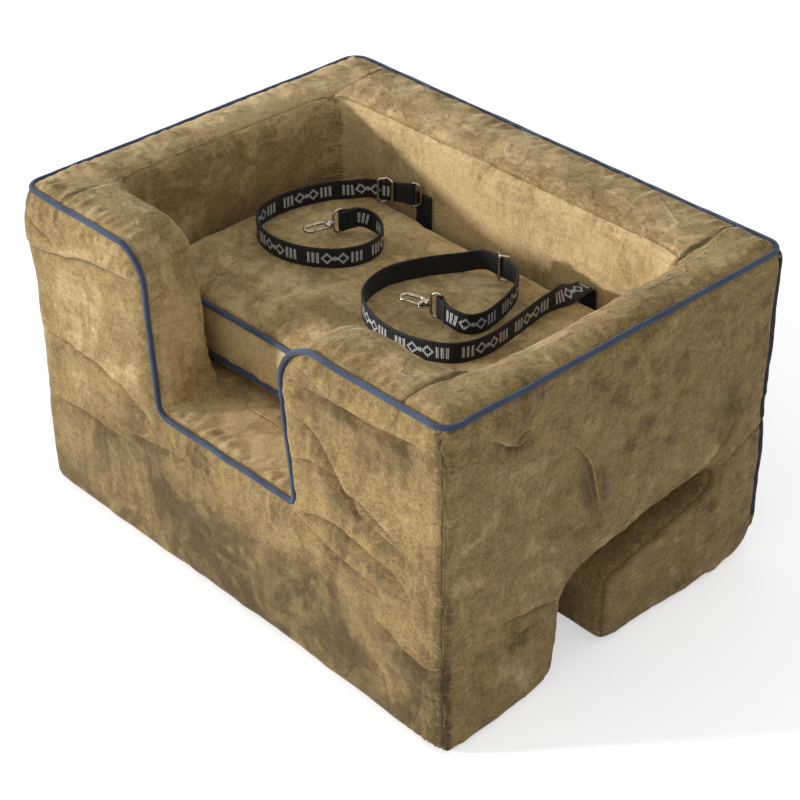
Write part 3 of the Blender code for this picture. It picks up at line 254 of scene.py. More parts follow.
def weave_group() -> NodeTree:
    """Woven ribs on a vector in metres, whose pitches and slant are inputs.

    Returns:
        The group, with a Rib mask that is also a height.
    """
    hand, start, end = shader_group("woven_rib", ("Vector", "Warp Pitch", "Weft Pitch", "Slant"), ("Rib",))
    along, across = hand.add("ShaderNodeSeparateXYZ", {0: start["Vector"]}).outputs[:2]
    slanted = hand.plus(along, hand.times(across, start["Slant"]))
    weft, warp = (
        hand.math("SINE", hand.times(hand.math("DIVIDE", way, start[pitch]), 2 * math.pi))
        for way, pitch in ((slanted, "Weft Pitch"), (across, "Warp Pitch"))
    )
    hand.feed(end["Rib"], hand.between(hand.plus(weft, hand.times(hand.times(weft, warp), 0.5)), -0.8, 0.9))
    return hand.tree


def rubbed_group() -> NodeTree:
    """Uneven rubbing and dust over the whole surface.

    Returns:
        The group, with a broad mask Rubbed and a finer one Fine.
    """
    hand, start, end = shader_group("rubbed", ("Vector", "Scale"), ("Rubbed", "Fine"))
    for label, boost, detail in (("Rubbed", 1.0, 4.0), ("Fine", 12.0, 2.0)):
        texture = hand.noise(start["Vector"], hand.times(start["Scale"], boost), detail)
        hand.feed(end[label], hand.between(texture, 0.35, 0.68))
    return hand.tree


class Library:
    """The shader groups, each built once."""

    def __init__(self) -> None:
        """Builds the groups."""
        self.nap = nap_group()
        self.weave = weave_group()
        self.rubbed = rubbed_group()


class MaterialHand(Nodes):
    """A hand for building one material round its Principled shader."""

    def __init__(self, name: str) -> None:
        """Starts the material and reads the Object coordinates.

        Args:
            name: The material's name.
        """
        self.material = bpy.data.materials.new(name)
        self.material.use_nodes = True
        super().__init__(self.material.node_tree)
        self.shader = self.tree.nodes["Principled BSDF"]
        self.place = self.add("ShaderNodeTexCoord").outputs["Object"]

    def uv(self) -> NodeSocket:
        """The piece's own UV map, which is in metres."""
        return self.add("ShaderNodeUVMap", uv_map="cloth").outputs["UV"]

    def attribute(self, name: str) -> NodeSocket:
        """A value that the mesh carries under this name."""
        return self.add("ShaderNodeAttribute", attribute_name=name).outputs["Fac"]

    def group(self, group: NodeTree, **values: object) -> object:
        """Places a group, its inputs named with underscores for spaces, and gives its outputs."""
        feeds = {name.replace("_", " "): value for name, value in values.items()}
        return self.add("ShaderNodeGroup", feeds, node_tree=group).outputs

    def shade(self, **values: object) -> None:
        """Feeds or sets the shader's inputs, named with underscores for spaces."""
        for name, value in values.items():
            self.feed(self.shader.inputs[name.replace("_", " ")], value)

    def bumped(self, *layers: tuple[object, float, float]) -> Material:
        """Feeds stacked bumps into the shader's normal.

        Args:
            layers: Height socket, distance in metres and strength of each, the broadest first.

        Returns:
            The material, which is then complete.
        """
        normal = None
        for height, distance, strength in layers:
            bump = self.add("ShaderNodeBump", {"Distance": distance, "Strength": strength, "Height": height})
            if normal is not None:
                self.feed(bump.inputs["Normal"], normal)
            normal = bump.outputs["Normal"]
        self.shade(Normal=normal)
        return self.material


@dataclass(frozen=True)
class SuedeFinish:
    """Brushed suede cloth, paler where the nap stands up and darker where it lies down, with painted light
    and shade added from the mesh: lifted or darkened panels, painted shade in the folds and a partly painted
    highlight along crease ridges.
    """

    name: str = "suede"
    contrast: float = 2.65
    roughness: float = 0.86
    sheen: float = 0.32

    def material(self, library: Library) -> Material:
        """Builds the material.

        Args:
            library: The shader groups.

        Returns:
            The material.
        """
        hand = MaterialHand(self.name)
        place = hand.place
        nap = hand.group(library.nap, Vector=place, Contrast=self.contrast)
        ridge = hand.between(hand.math("ABSOLUTE", hand.attribute("ridge")), 0.0015, 0.0003)
        ridge = hand.times(ridge, hand.attribute("ridged"))
        pucker = hand.noise(hand.stretched(place, (0.18, 0.18, 1.0)), 260.0, 2.0, 0.5, 0.4)
        pucker = hand.times(hand.between(pucker, 0.52, 0.64), hand.attribute("seam"))
        # The mesh's nap value adds nap patches and painted light: whole panels lifted or darkened for how
        # light falls on them, painted shade low and right on the front, and painted highlight and shade
        # beside the creases.
        tone = hand.plus(nap["Tone"], hand.attribute("nap"))
        # A paler line along each crease ridge, partly painted highlight where the ridge catches light and
        # partly nap rubbed pale on the fold.
        tone = hand.plus(tone, hand.weighed((nap["Wrinkle"], 0.07), (ridge, 0.55), (pucker, 0.22)))
        low = hand.mix(hand.between(tone, -0.30, 0.5), Tone.SUEDE_DARK, Tone.SUEDE_MID)
        colour = hand.mix(hand.between(tone, 0.45, 1.0), low, Tone.SUEDE_LIGHT)
        grain = hand.between(nap["Grain"], 0.44, 0.57, 0.0, 0.41)
        grain = hand.times(grain, hand.between(tone, 0.45, 1.05, 1.0, 0.58))
        colour = hand.mix(grain, colour, Tone.SUEDE_SHADE)
        height = hand.add("ShaderNodeSeparateXYZ", {0: place}).outputs[2]
        # Darker, greyer patches towards the bottom, fading out at 0.17 m up.
        low_patches = hand.noise(hand.stretched(place, (0.5, 0.5, 1.3)), 16.0, 5.0, 0.6, 1.0)
        low_patches = hand.times(hand.between(low_patches, 0.50, 0.66), hand.between(height, 0.17, 0.03, 0.0, 0.32))
        colour = hand.mix(low_patches, colour, Tone.SOIL)
        # Painted shade: darker in the fold valleys, along the seams and along the cushion's sharp wrinkles.
        colour = hand.mix(hand.between(hand.attribute("fold"), 0.0, 1.0, 0.0, 0.80), colour, Tone.SUEDE_DARK)
        rough = hand.between(tone, 0.0, 1.0, self.roughness + 0.09, self.roughness - 0.06)
        hand.shade(Base_Color=colour, Roughness=rough, Sheen_Weight=self.sheen, Sheen_Roughness=0.38,
                   Sheen_Tint=(1.0, 0.90, 0.70, 1.0), Specular_IOR_Level=0.18)
        crumple = hand.noise(place, 85.0, 3.0, 0.55, 0.8)
        return hand.bumped((crumple, 0.0012, 0.30), (nap["Wrinkle"], 0.0010, 0.45), (ridge, 0.0014, 0.70),
                           (pucker, 0.0016, 0.60), (nap["Height"], 0.00045, 0.50))


@dataclass(frozen=True)
class BackClothFinish:
    """Plain black woven cloth of the back panel."""

    name: str = "black_back_cloth"
    pitch: float = 0.0011

    def material(self, library: Library) -> Material:
        """Builds the material.

        Args:
            library: The shader groups.

        Returns:
            The material.
        """
        hand = MaterialHand(self.name)
        turned = hand.stretched(hand.place, (1.0, 1.0, 1.0), (math.radians(90), 0.0, 0.0))
        pitches = {"Warp_Pitch": self.pitch, "Weft_Pitch": self.pitch}
        weave = hand.group(library.weave, Vector=turned, Slant=0.0, **pitches)
        rubbed = hand.group(library.rubbed, Vector=hand.place, Scale=14.0)
        share = hand.times(weave["Rib"], hand.between(rubbed["Rubbed"], 0.0, 1.0, 0.35, 1.0))
        hand.shade(Base_Color=hand.mix(share, Tone.CLOTH, Tone.CLOTH_PALE), Sheen_Weight=0.15,
                   Roughness=hand.between(rubbed["Fine"], 0.0, 1.0, 0.78, 0.90), Specular_IOR_Level=0.25)
        return hand.bumped((rubbed["Rubbed"], 0.0015, 0.25), (weave["Rib"], 0.00025, 0.6))


@dataclass(frozen=True)
class PipingFinish:
    """Slate-blue cloth wrapped round a cord, with its threads on the slant."""

    name: str = "slate_piping"
    pitch: float = 0.0009

    def material(self, library: Library) -> Material:
        """Builds the material.

        Args:
            library: The shader groups.

        Returns:
            The material.
        """
        hand = MaterialHand(self.name)
        pitches = {"Warp_Pitch": self.pitch, "Weft_Pitch": self.pitch}
        weave = hand.group(library.weave, Vector=hand.uv(), Slant=1.0, **pitches)
        rubbed = hand.group(library.rubbed, Vector=hand.place, Scale=40.0)
        share = hand.weighed((weave["Rib"], 0.35), (rubbed["Rubbed"], 0.50))
        hand.shade(Base_Color=hand.mix(share, Tone.PIPING, Tone.PIPING_WORN), Sheen_Weight=0.2,
                   Roughness=hand.between(rubbed["Fine"], 0.0, 1.0, 0.62, 0.80), Specular_IOR_Level=0.3)
        return hand.bumped((rubbed["Rubbed"], 0.0006, 0.4), (weave["Rib"], 0.0002, 0.7))


@dataclass(frozen=True)
class WebbingFinish:
    """Black ribbed webbing with a pale printed border pattern of bars, lozenges and dots."""

    name: str = "printed_webbing"
    repeat: float = 0.058
    rib_pitch: float = 0.0019
    warp_pitch: float = 0.0024
    bars: tuple[float, ...] = (0.0045, 0.0085, 0.0125, 0.0420, 0.0460, 0.0500)
    bar_half_width: float = 0.0012
    bar_half_height: float = 0.0050
    lozenges: tuple[float, ...] = (0.0205, 0.0340)
    lozenge_inner: float = 0.0031
    lozenge_outer: float = 0.0056
    dot: float = 0.02725
    dot_radius: float = 0.0021

    def motif(self, hand: Nodes, along: object, across: object) -> NodeSocket:
        """The printed pattern as a mask.

        Args:
            hand: The material's node hand.
            along: Metres along the webbing.
            across: Metres from the webbing's middle.

        Returns:
            The mask's socket.
        """
        step = hand.times(hand.math("FRACT", hand.math("DIVIDE", along, self.repeat)), self.repeat)
        height = hand.math("ABSOLUTE", across)
        shapes = []
        for centre in self.bars:
            aside = hand.math("ABSOLUTE", hand.math("SUBTRACT", step, centre))
            shapes.append(hand.times(hand.math("LESS_THAN", aside, self.bar_half_width),
                                     hand.math("LESS_THAN", height, self.bar_half_height)))
        for centre in self.lozenges:
            reach = hand.plus(hand.math("ABSOLUTE", hand.math("SUBTRACT", step, centre)), height)
            shapes.append(hand.times(hand.math("LESS_THAN", reach, self.lozenge_outer),
                                     hand.math("GREATER_THAN", reach, self.lozenge_inner)))
        aside = hand.math("POWER", hand.math("SUBTRACT", step, self.dot), 2.0)
        reach = hand.math("SQRT", hand.plus(aside, hand.math("POWER", across, 2.0)))
        total = hand.math("LESS_THAN", reach, self.dot_radius)
        for shape in shapes:
            total = hand.math("MAXIMUM", total, shape)
        return total

    def material(self, library: Library) -> Material:
        """Builds the material.

        Args:
            library: The shader groups.

        Returns:
            The material.
        """
        hand = MaterialHand(self.name)
        place = hand.uv()
        pitches = {"Warp_Pitch": self.warp_pitch, "Weft_Pitch": self.rib_pitch}
        weave = hand.group(library.weave, Vector=place, Slant=0.0, **pitches)
        rubbed = hand.group(library.rubbed, Vector=hand.place, Scale=160.0)
        ground = hand.mix(weave["Rib"], Tone.WEBBING, Tone.WEBBING_RIB)
        along, across = hand.add("ShaderNodeSeparateXYZ", {0: place}).outputs[:2]
        printed = hand.times(self.motif(hand, along, across), hand.attribute("printed"))
        worn = hand.times(hand.between(rubbed["Fine"], 0.0, 1.0, 0.72, 1.0),
                          hand.between(weave["Rib"], 0.0, 0.6, 0.62, 1.0))
        hand.shade(Base_Color=hand.mix(hand.times(printed, worn), ground, Tone.PRINT), Sheen_Weight=0.05,
                   Roughness=hand.between(rubbed["Rubbed"], 0.0, 1.0, 0.52, 0.70), Specular_IOR_Level=0.28)
        return hand.bumped((weave["Rib"], 0.00035, 0.9))


@dataclass(frozen=True)
class ThreadFinish:
    """Black sewing thread."""

    name: str = "black_thread"

    def material(self, library: Library) -> Material:
        """Builds the material.

        Args:
            library: The shader groups.

        Returns:
            The material.
        """
        hand = MaterialHand(self.name)
        rubbed = hand.group(library.rubbed, Vector=hand.place, Scale=900.0)
        hand.shade(Base_Color=hand.mix(rubbed["Rubbed"], Tone.THREAD, Tone.CLOTH_PALE), Roughness=0.55)
        return hand.bumped((rubbed["Fine"], 0.0002, 0.5))


@dataclass(frozen=True)
class NickelFinish:
    """Plated wire and castings, warm, with fine scratches and dull patches."""

    name: str = "plated_metal"

    def material(self, library: Library) -> Material:
        """Builds the material.

        Args:
            library: The shader groups.

        Returns:
            The material.
        """
        hand = MaterialHand(self.name)
        rubbed = hand.group(library.rubbed, Vector=hand.place, Scale=220.0)
        scratch = hand.noise(hand.stretched(hand.place, (1.0, 0.08, 0.3), (0.3, 0.6, 0.2)), 2600.0, 2.0, 0.6)
        colour = hand.mix(hand.times(rubbed["Rubbed"], 0.75), Tone.NICKEL, Tone.NICKEL_DULL)
        rough = hand.plus(hand.between(rubbed["Rubbed"], 0.0, 1.0, 0.16, 0.34), hand.times(scratch, 0.10))
        hand.shade(Base_Color=colour, Metallic=1.0, Roughness=rough)
        return hand.bumped((scratch, 0.00004, 0.35))


class Wardrobe:
    """All the finishes as materials."""

    def __init__(self) -> None:
        """Builds each material once."""
        library = Library()
        self.suede = SuedeFinish().material(library)
        self.cushion = SuedeFinish(name="suede_cushion", contrast=3.0).material(library)
        self.back = BackClothFinish().material(library)
        self.piping = PipingFinish().material(library)
        self.webbing = WebbingFinish().material(library)
        self.thread = ThreadFinish().material(library)
        self.nickel = NickelFinish().material(library)


# Mesh help


def linked(name: str, data: object) -> Object:
    """Puts a mesh, a lamp or a camera into the scene as an object at the origin.

    Args:
        name: Its name.
        data: Its mesh, lamp or camera.

    Returns:
        The object.
    """
    obj = bpy.data.objects.new(name, data)
    bpy.context.scene.collection.objects.link(obj)
    return obj


def discard(*objects: Object) -> None:
    """Removes helper objects with their meshes.

    Args:
        objects: The helpers.
    """
    for obj in objects:
        mesh = obj.data
        bpy.data.objects.remove(obj, do_unlink=True)
        bpy.data.meshes.remove(mesh)


def evaluated(obj: Object) -> Mesh:
    """A new mesh of what the object's modifiers make."""
    return bpy.data.meshes.new_from_object(obj.evaluated_get(bpy.context.evaluated_depsgraph_get()))


def apply_modifiers(obj: Object) -> Mesh:
    """Gives the object the mesh that its modifiers make, smooth, and takes them off.

    Args:
        obj: The object.

    Returns:
        The new mesh.
    """
    before = obj.data
    obj.data = evaluated(obj)
    obj.modifiers.clear()
    bpy.data.meshes.remove(before)
    obj.data.name = obj.name
    obj.data.shade_smooth()
    return obj.data


def even_faces(obj: Object, voxel: float) -> None:
    """Adds a remesh of the object into small faces of this size.

    Args:
        obj: The object.
        voxel: How wide the faces are.
    """
    remesh = obj.modifiers.new("even", "REMESH")
    remesh.mode = "VOXEL"
    remesh.voxel_size = voxel


def mesh_of(name: str, points: Array, faces: Sequence[Sequence[int]]) -> Mesh:
    """A smooth mesh of the points and faces.

    Args:
        name: Its name.
        points: Its points as rows.
        faces: The numbers of each face's points.

    Returns:
        The mesh.
    """
    mesh = bpy.data.meshes.new(name)
    mesh.from_pydata(np.asarray(points, float).tolist(), [], [list(map(int, face)) for face in faces])
    mesh.shade_smooth()
    return mesh


def turned_out(mesh: Mesh) -> Mesh:
    """Turns a closed mesh's faces outwards and gives the same mesh.

    Args:
        mesh: The mesh.

    Returns:
        The same mesh.
    """
    build = bmesh.new()
    build.from_mesh(mesh)
    bmesh.ops.recalc_face_normals(build, faces=build.faces)
    build.to_mesh(mesh)
    build.free()
    return mesh


def tube_faces(rows: int, columns: int, closed: bool) -> list[list[int]]:
    """The faces of a tube of rings, with a cap on each end unless it closes on itself.

    Args:
        rows: How many rings.
        columns: How many points each ring has.
        closed: Whether the last ring joins the first.

    Returns:
        The sides ring by ring, then the two caps.
    """
    i, j = np.meshgrid(np.arange(rows if closed else rows - 1), np.arange(columns), indexing="ij")
    i, j = i.ravel(), j.ravel()
    k, m = (i + 1) % rows, (j + 1) % columns
    faces = np.stack([i * columns + j, i * columns + m, k * columns + m, k * columns + j], axis=1).tolist()
    if not closed:
        faces += [list(range(columns)), list(range((rows - 1) * columns, rows * columns))]
    return faces


def tube(name: str, rings: Array) -> Mesh:
    """A closed solid through the rings, which are rows of points."""
    return turned_out(mesh_of(name, rings.reshape(-1, 3), tube_faces(*rings.shape[:2], closed=False)))


def rows_of(items: object, name: str, width: int, kind: type = float) -> Array:
    """The items' values under this name, as rows of this width.

    Args:
        items: A mesh's collection, such as its points or loops.
        name: The value's name.
        width: How many numbers each item has.
        kind: The numbers' type.

    Returns:
        The rows.
    """
    flat = np.empty(len(items) * width, kind)
    items.foreach_get(name, flat)
    return flat.reshape(-1, width)


def coordinates(mesh: Mesh) -> Array:
    """The mesh's points as rows."""
    return rows_of(mesh.vertices, "co", 3)


def vertex_normals(mesh: Mesh) -> Array:
    """The normal at each point."""
    return rows_of(mesh.vertex_normals, "vector", 3)


def set_coordinates(mesh: Mesh, points: Array) -> None:
    """Moves the mesh's points."""
    mesh.vertices.foreach_set("co", points.astype(np.float32).ravel())
    mesh.update()


def relaxed(points: Array, pairs: Array, weight: Array, rounds: int) -> Array:
    """Points pulled towards the middle of their neighbours.

    Args:
        points: The points.
        pairs: The edges.
        weight: How far each point follows, from 0 to 1.
        rounds: How many times.

    Returns:
        The moved points.
    """
    count = len(points)
    degree = np.maximum(np.bincount(pairs.ravel(), minlength=count), 1)[:, None]
    moved = points.copy()
    for _ in range(rounds):
        total = np.empty_like(moved)
        for axis in range(3):
            column = moved[:, axis]
            total[:, axis] = np.bincount(pairs[:, 0], column[pairs[:, 1]], count)
            total[:, axis] += np.bincount(pairs[:, 1], column[pairs[:, 0]], count)
        moved += (total / degree - moved) * weight[:, None] * 0.5
    return moved


def ease(value: Array | float) -> Array:
    """Rises smoothly from 0 to 1 as the value does."""
    share = np.clip(value, 0.0, 1.0)
    return share * share * (3 - 2 * share)


def bell(value: Array, width: Array | float) -> Array:
    """Falls smoothly from 1 at zero towards 0, to a third at this width."""
    return np.exp(-((value / width) ** 2))


def ripple(points: Array, wavelength: float, seed: int, stretch: Sequence[float] = (1.0, 1.0, 1.0)) -> Array:
    """A smooth random field of about this wavelength, from -1 to 1.

    Args:
        points: Where it is wanted.
        wavelength: Its usual wavelength.
        seed: Which field.
        stretch: How much longer it is along each axis.

    Returns:
        Its value at each point.
    """
    draw = np.random.default_rng(seed)
    total = np.zeros(len(points))
    waves, most = 22, 1.6
    for _ in range(waves):
        way = draw.normal(size=3)
        way = way / np.linalg.norm(way) / np.asarray(stretch)
        number = 2 * math.pi / (wavelength * draw.uniform(0.7, 1.5))
        total += np.cos(points @ (way * number) + draw.uniform(0, 2 * math.pi))
    return np.clip(total / math.sqrt(waves), -most, most) / most


@dataclass(frozen=True)
class Ripple:
    """A smooth random field: its height, its usual wavelength, which field it is, and its stretch."""

    height: float
    wavelength: float
    seed: int
    stretch: Spot = (1.0, 1.0, 1.0)

    def over(self, points: Array) -> Array:
        """Its value at each point."""
        return self.height * ripple(points, self.wavelength, self.seed, self.stretch)

    def ridges(self, points: Array) -> Array:
        """Sharp scattered ridges where the field is near zero, from 0 to its height."""
        return self.height * (1.0 - np.abs(ripple(points, self.wavelength, self.seed, self.stretch))) ** 6


def fillet(before: Vector, here: Vector, after: Vector, radius: float, facet: float) -> list[Vector]:
    """Points of the arc that rounds one corner.

    Args:
        before: The corner before.
        here: The corner.
        after: The corner after.
        radius: The arc's radius.
        facet: The most that one step turns, in degrees.

    Returns:
        The arc's points.
    """
    into = (here - before).normalized()
    out = (after - here).normalized()
    turn = into.angle(out)
    if radius <= 0 or turn < math.radians(1):
        return [here]
    start = here - into * (radius * math.tan(turn / 2))
    across = (out - into * into.dot(out)).normalized()
    centre = start + across * radius
    steps = max(2, math.ceil(math.degrees(turn) / facet))
    angles = [turn * k / steps for k in range(steps + 1)]
    return [centre + (into * math.sin(a) - across * math.cos(a)) * radius for a in angles]


def rounded_path(corners: Sequence[Corner], closed: bool, facet: float = 7.5) -> list[Vector]:
    """Points along the line through corners (point, radius), with an arc at each.

    Args:
        corners: The corners (point, radius).
        closed: Whether it closes on itself.
        facet: The most that one step of an arc turns, in degrees.

    Returns:
        The points.
    """
    count = len(corners)
    spots = [Vector(spot) for spot, _ in corners]
    points: list[Vector] = []
    for i, (_, radius) in enumerate(corners):
        inside = closed or 0 < i < count - 1
        points += fillet(spots[i - 1], spots[i], spots[(i + 1) % count], radius if inside else 0.0, facet)
    return points


def run_along(path: Array) -> Array:
    """How far along the path each of its points is."""
    return np.concatenate([[0.0], np.cumsum(np.linalg.norm(np.diff(path, axis=0), axis=1))])


def spaced(points: Sequence[Vector] | Array, step: float, closed: bool) -> Array:
    """The line through the points, with points at an even step, as rows.

    Args:
        points: The line's points.
        step: About how far apart the new points are.
        closed: Whether it closes on itself.

    Returns:
        The new points.
    """
    rows = np.asarray([tuple(p) for p in points], float)
    if closed:
        rows = np.vstack([rows, rows[:1]])
    run = run_along(rows)
    keep = np.concatenate([[True], np.diff(run) > 1e-9])
    rows, run = rows[keep], run[keep]
    count = max(2, round(run[-1] / step))
    at = np.linspace(0.0, run[-1], count + 1)
    if closed:
        at = at[:-1]
    return np.stack([np.interp(at, run, rows[:, axis]) for axis in range(3)], axis=1)


def unit(rows: Array) -> Array:
    """Each row at length 1."""
    return rows / np.maximum(np.linalg.norm(rows, axis=-1, keepdims=True), 1e-12)


def ways_along(path: Array, closed: bool) -> Array:
    """The way onwards at each point of a path.

    Args:
        path: The path's points.
        closed: Whether it closes on itself.

    Returns:
        The ways, each at length 1.
    """
    if closed:
        return unit(np.roll(path, -1, axis=0) - np.roll(path, 1, axis=0))
    return unit(np.gradient(path, axis=0))


def carried_sides(path: Array, closed: bool) -> Array:
    """A way aside at each point of a path, carried along it without twisting, as rows.

    Args:
        path: The path's points.
        closed: Whether it closes on itself.

    Returns:
        The ways aside, each at length 1.
    """
    ways = ways_along(path, closed)
    first = np.cross(ways[0], (0.0, 0.0, 1.0))
    if np.linalg.norm(first) < 0.1:
        first = np.cross(ways[0], (0.0, 1.0, 0.0))
    sides = [unit(first)]
    for way in ways[1:]:
        sides.append(unit(sides[-1] - way * np.dot(sides[-1], way)))
    return np.asarray(sides)


def sweep(name: str, path: Array, sides: Array | Vector, profile: Array, closed: bool,
          scale: Array | None = None) -> Mesh:
    """A solid with one profile along a path, with a UV map in metres.

    Args:
        name: The mesh's name.
        path: The path's points.
        sides: The way of the profile's first axis, at each point or for all of them.
        profile: The profile's points, across and out.
        closed: Whether the path closes on itself.
        scale: The profile's scale at each point, if it changes.

    Returns:
        The mesh.
    """
    ways = ways_along(path, closed)
    sides = np.broadcast_to(sides, path.shape)
    across = unit(sides - ways * np.sum(sides * ways, axis=1, keepdims=True))
    out = np.cross(ways, across)
    size = np.ones(len(path)) if scale is None else scale
    section = across[:, None, :] * profile[None, :, 0:1] + out[:, None, :] * profile[None, :, 1:2]
    rings = path[:, None, :] + section * size[:, None, None]
    rows, columns = len(path), len(profile)
    mesh = mesh_of(name, rings.reshape(-1, 3), tube_faces(rows, columns, closed))
    run = run_along(path)
    run = np.append(run, run[-1] + (np.linalg.norm(path[0] - path[-1]) if closed else 0.0))
    girth = run_along(np.vstack([profile, profile[:1]]))
    i, j = np.divmod(np.arange((rows if closed else rows - 1) * columns), columns)
    u = np.stack([run[i], run[i], run[i + 1], run[i + 1]], axis=1)
    v = np.stack([girth[j], girth[j + 1], girth[j + 1], girth[j]], axis=1)
    flat = np.stack([u, v], axis=2).reshape(-1, 2)
    if not closed:
        flat = np.vstack([flat, np.zeros((2 * columns, 2))])
    mesh.uv_layers.new(name="cloth").data.foreach_set("uv", flat.astype(np.float32).ravel())
    return turned_out(mesh)


def circle(radius: float, sides: int) -> Array:
    """A round profile."""
    angles = np.arange(sides) * 2 * math.pi / sides
    return np.stack([radius * np.cos(angles), radius * np.sin(angles)], axis=1)


def joined_mesh(name: str, meshes: Sequence[Mesh]) -> Mesh:
    """Several meshes as one, and the single ones removed.

    Args:
        name: Its name.
        meshes: The single meshes.

    Returns:
        The whole.
    """
    build = bmesh.new()
    for mesh in meshes:
        build.from_mesh(mesh)
    whole = bpy.data.meshes.new(name)
    build.to_mesh(whole)
    build.free()
    for mesh in meshes:
        bpy.data.meshes.remove(mesh)
    whole.shade_smooth()
    return whole


def carry(mesh: Mesh, name: str, values: Array) -> None:
    """Gives the mesh a value at each point under this name."""
    mesh.attributes.new(name, "FLOAT", "POINT").data.foreach_set("value", values.astype(np.float32))


def settle(obj: Object, material: Material, slot: str, body: str, *nodes: str) -> Object:
    """Dresses a finished piece and says what it is.

    Args:
        obj: The piece.
        material: Its finish.
        slot: Not used.
        body: The body that it rides on.
        nodes: The solids that it stands for.

    Returns:
        The piece.
    """
    obj.data.materials.clear()
    obj.data.materials.append(material)
    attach(obj, body)
    if nodes:
        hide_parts(*nodes)
    LOG.info("%s: %d faces on %s", obj.name, len(obj.data.polygons), body)
    return obj


# Studio


@dataclass
class Studio:
    """The camera at the photograph's angle, a pale floor, and soft light low from the left."""

    place: tuple[float, float, float] = (1.11429, -1.04342, 1.13556)
    right: tuple[float, float, float] = (0.6867, 0.7270, -0.0027)
    up: tuple[float, float, float] = (-0.4019, 0.3827, 0.8319)
    focal_pixels: float = 2123.33
    frame_pixels: float = 800.0
    sensor: float = 36.0
    light_way: tuple[float, float, float] = (0.60, 0.74, -0.20)
    key: float = 2.75
    key_angle: float = 4.0
    ambient: float = 0.45
    fill_way: tuple[float, float, float] = (-0.50, -0.30, 0.80)
    fill_tilt: float = 0.45
    floor_reach: float = 6.0
    floor_drop: float = 0.0008
    floor_colour: float = 0.86
    floor_glow: float = 0.52

    def camera(self) -> None:
        """Makes the scene's camera."""
        data = bpy.data.cameras.new("camera")
        data.sensor_width = self.sensor
        data.lens = self.focal_pixels / self.frame_pixels * self.sensor
        data.clip_start, data.clip_end = 0.05, 50.0
        camera = linked("camera", data)
        x = Vector(self.right).normalized()
        y = Vector(self.up)
        y = (y - x * y.dot(x)).normalized()
        turn = Matrix((x, y, x.cross(y))).transposed().to_4x4()
        turn.translation = self.place
        camera.matrix_world = turn
        bpy.context.scene.camera = camera

    def lights(self) -> None:
        """Makes the key light and the light of the room."""
        data = bpy.data.lights.new("key", "SUN")
        data.energy = self.key
        data.angle = math.radians(self.key_angle)
        linked("key", data).rotation_euler = Vector(self.light_way).to_track_quat("-Z", "Y").to_euler()
        world = bpy.data.worlds.new("room")
        world.use_nodes = True
        world.node_tree.nodes.clear()
        hand = Nodes(world.node_tree)
        rays = hand.add("ShaderNodeLightPath").outputs
        seen = hand.math("MAXIMUM", rays["Is Camera Ray"], rays["Is Transmission Ray"])
        seen = hand.math("MAXIMUM", seen, rays["Is Glossy Ray"])
        sky = hand.add("ShaderNodeTexCoord").outputs["Generated"]
        toward = hand.add("ShaderNodeVectorMath", {0: sky, 1: self.fill_way}, operation="DOT_PRODUCT")
        low, high = self.ambient * (1 - self.fill_tilt), self.ambient * (1 + self.fill_tilt)
        level = hand.between(toward.outputs["Value"], -1.0, 1.0, low, high)
        white = (1.0, 1.0, 1.0, 1.0)
        room = hand.add("ShaderNodeBackground", {"Color": white, "Strength": level})
        backdrop = hand.add("ShaderNodeBackground", {"Color": white})
        mix = hand.add("ShaderNodeMixShader", {0: seen, 1: room.outputs[0], 2: backdrop.outputs[0]})
        hand.add("ShaderNodeOutputWorld", {0: mix.outputs[0]})
        bpy.context.scene.world = world

    def floor(self) -> None:
        """Makes the pale floor, which shows white and keeps the shadow."""
        reach, low = self.floor_reach, -self.floor_drop
        corners = [(-reach, -reach, low), (reach, -reach, low), (reach, reach, low), (-reach, reach, low)]
        floor = linked("floor", mesh_of("floor", corners, [(0, 1, 2, 3)]))
        hand = MaterialHand("pale_floor")
        pale, paler = ((self.floor_colour + more,) * 3 + (1.0,) for more in (0.0, 0.02))
        hand.shade(Base_Color=hand.mix(hand.noise(hand.place, 1.5), pale, paler), Roughness=0.9,
                   Specular_IOR_Level=0.0)
        seen = hand.add("ShaderNodeLightPath").outputs["Is Camera Ray"]
        glow = hand.add("ShaderNodeEmission", {"Strength": hand.times(seen, self.floor_glow)})
        both = hand.add("ShaderNodeAddShader", {0: hand.shader.outputs[0], 1: glow.outputs[0]})
        hand.feed(hand.tree.nodes["Material Output"].inputs["Surface"], both.outputs[0])
        floor.data.materials.append(hand.material)

    def build(self) -> None:
        """Makes all of the studio."""
        bpy.context.scene.view_settings.view_transform = "Standard"
        self.camera()
        self.lights()
        self.floor()


# Piping


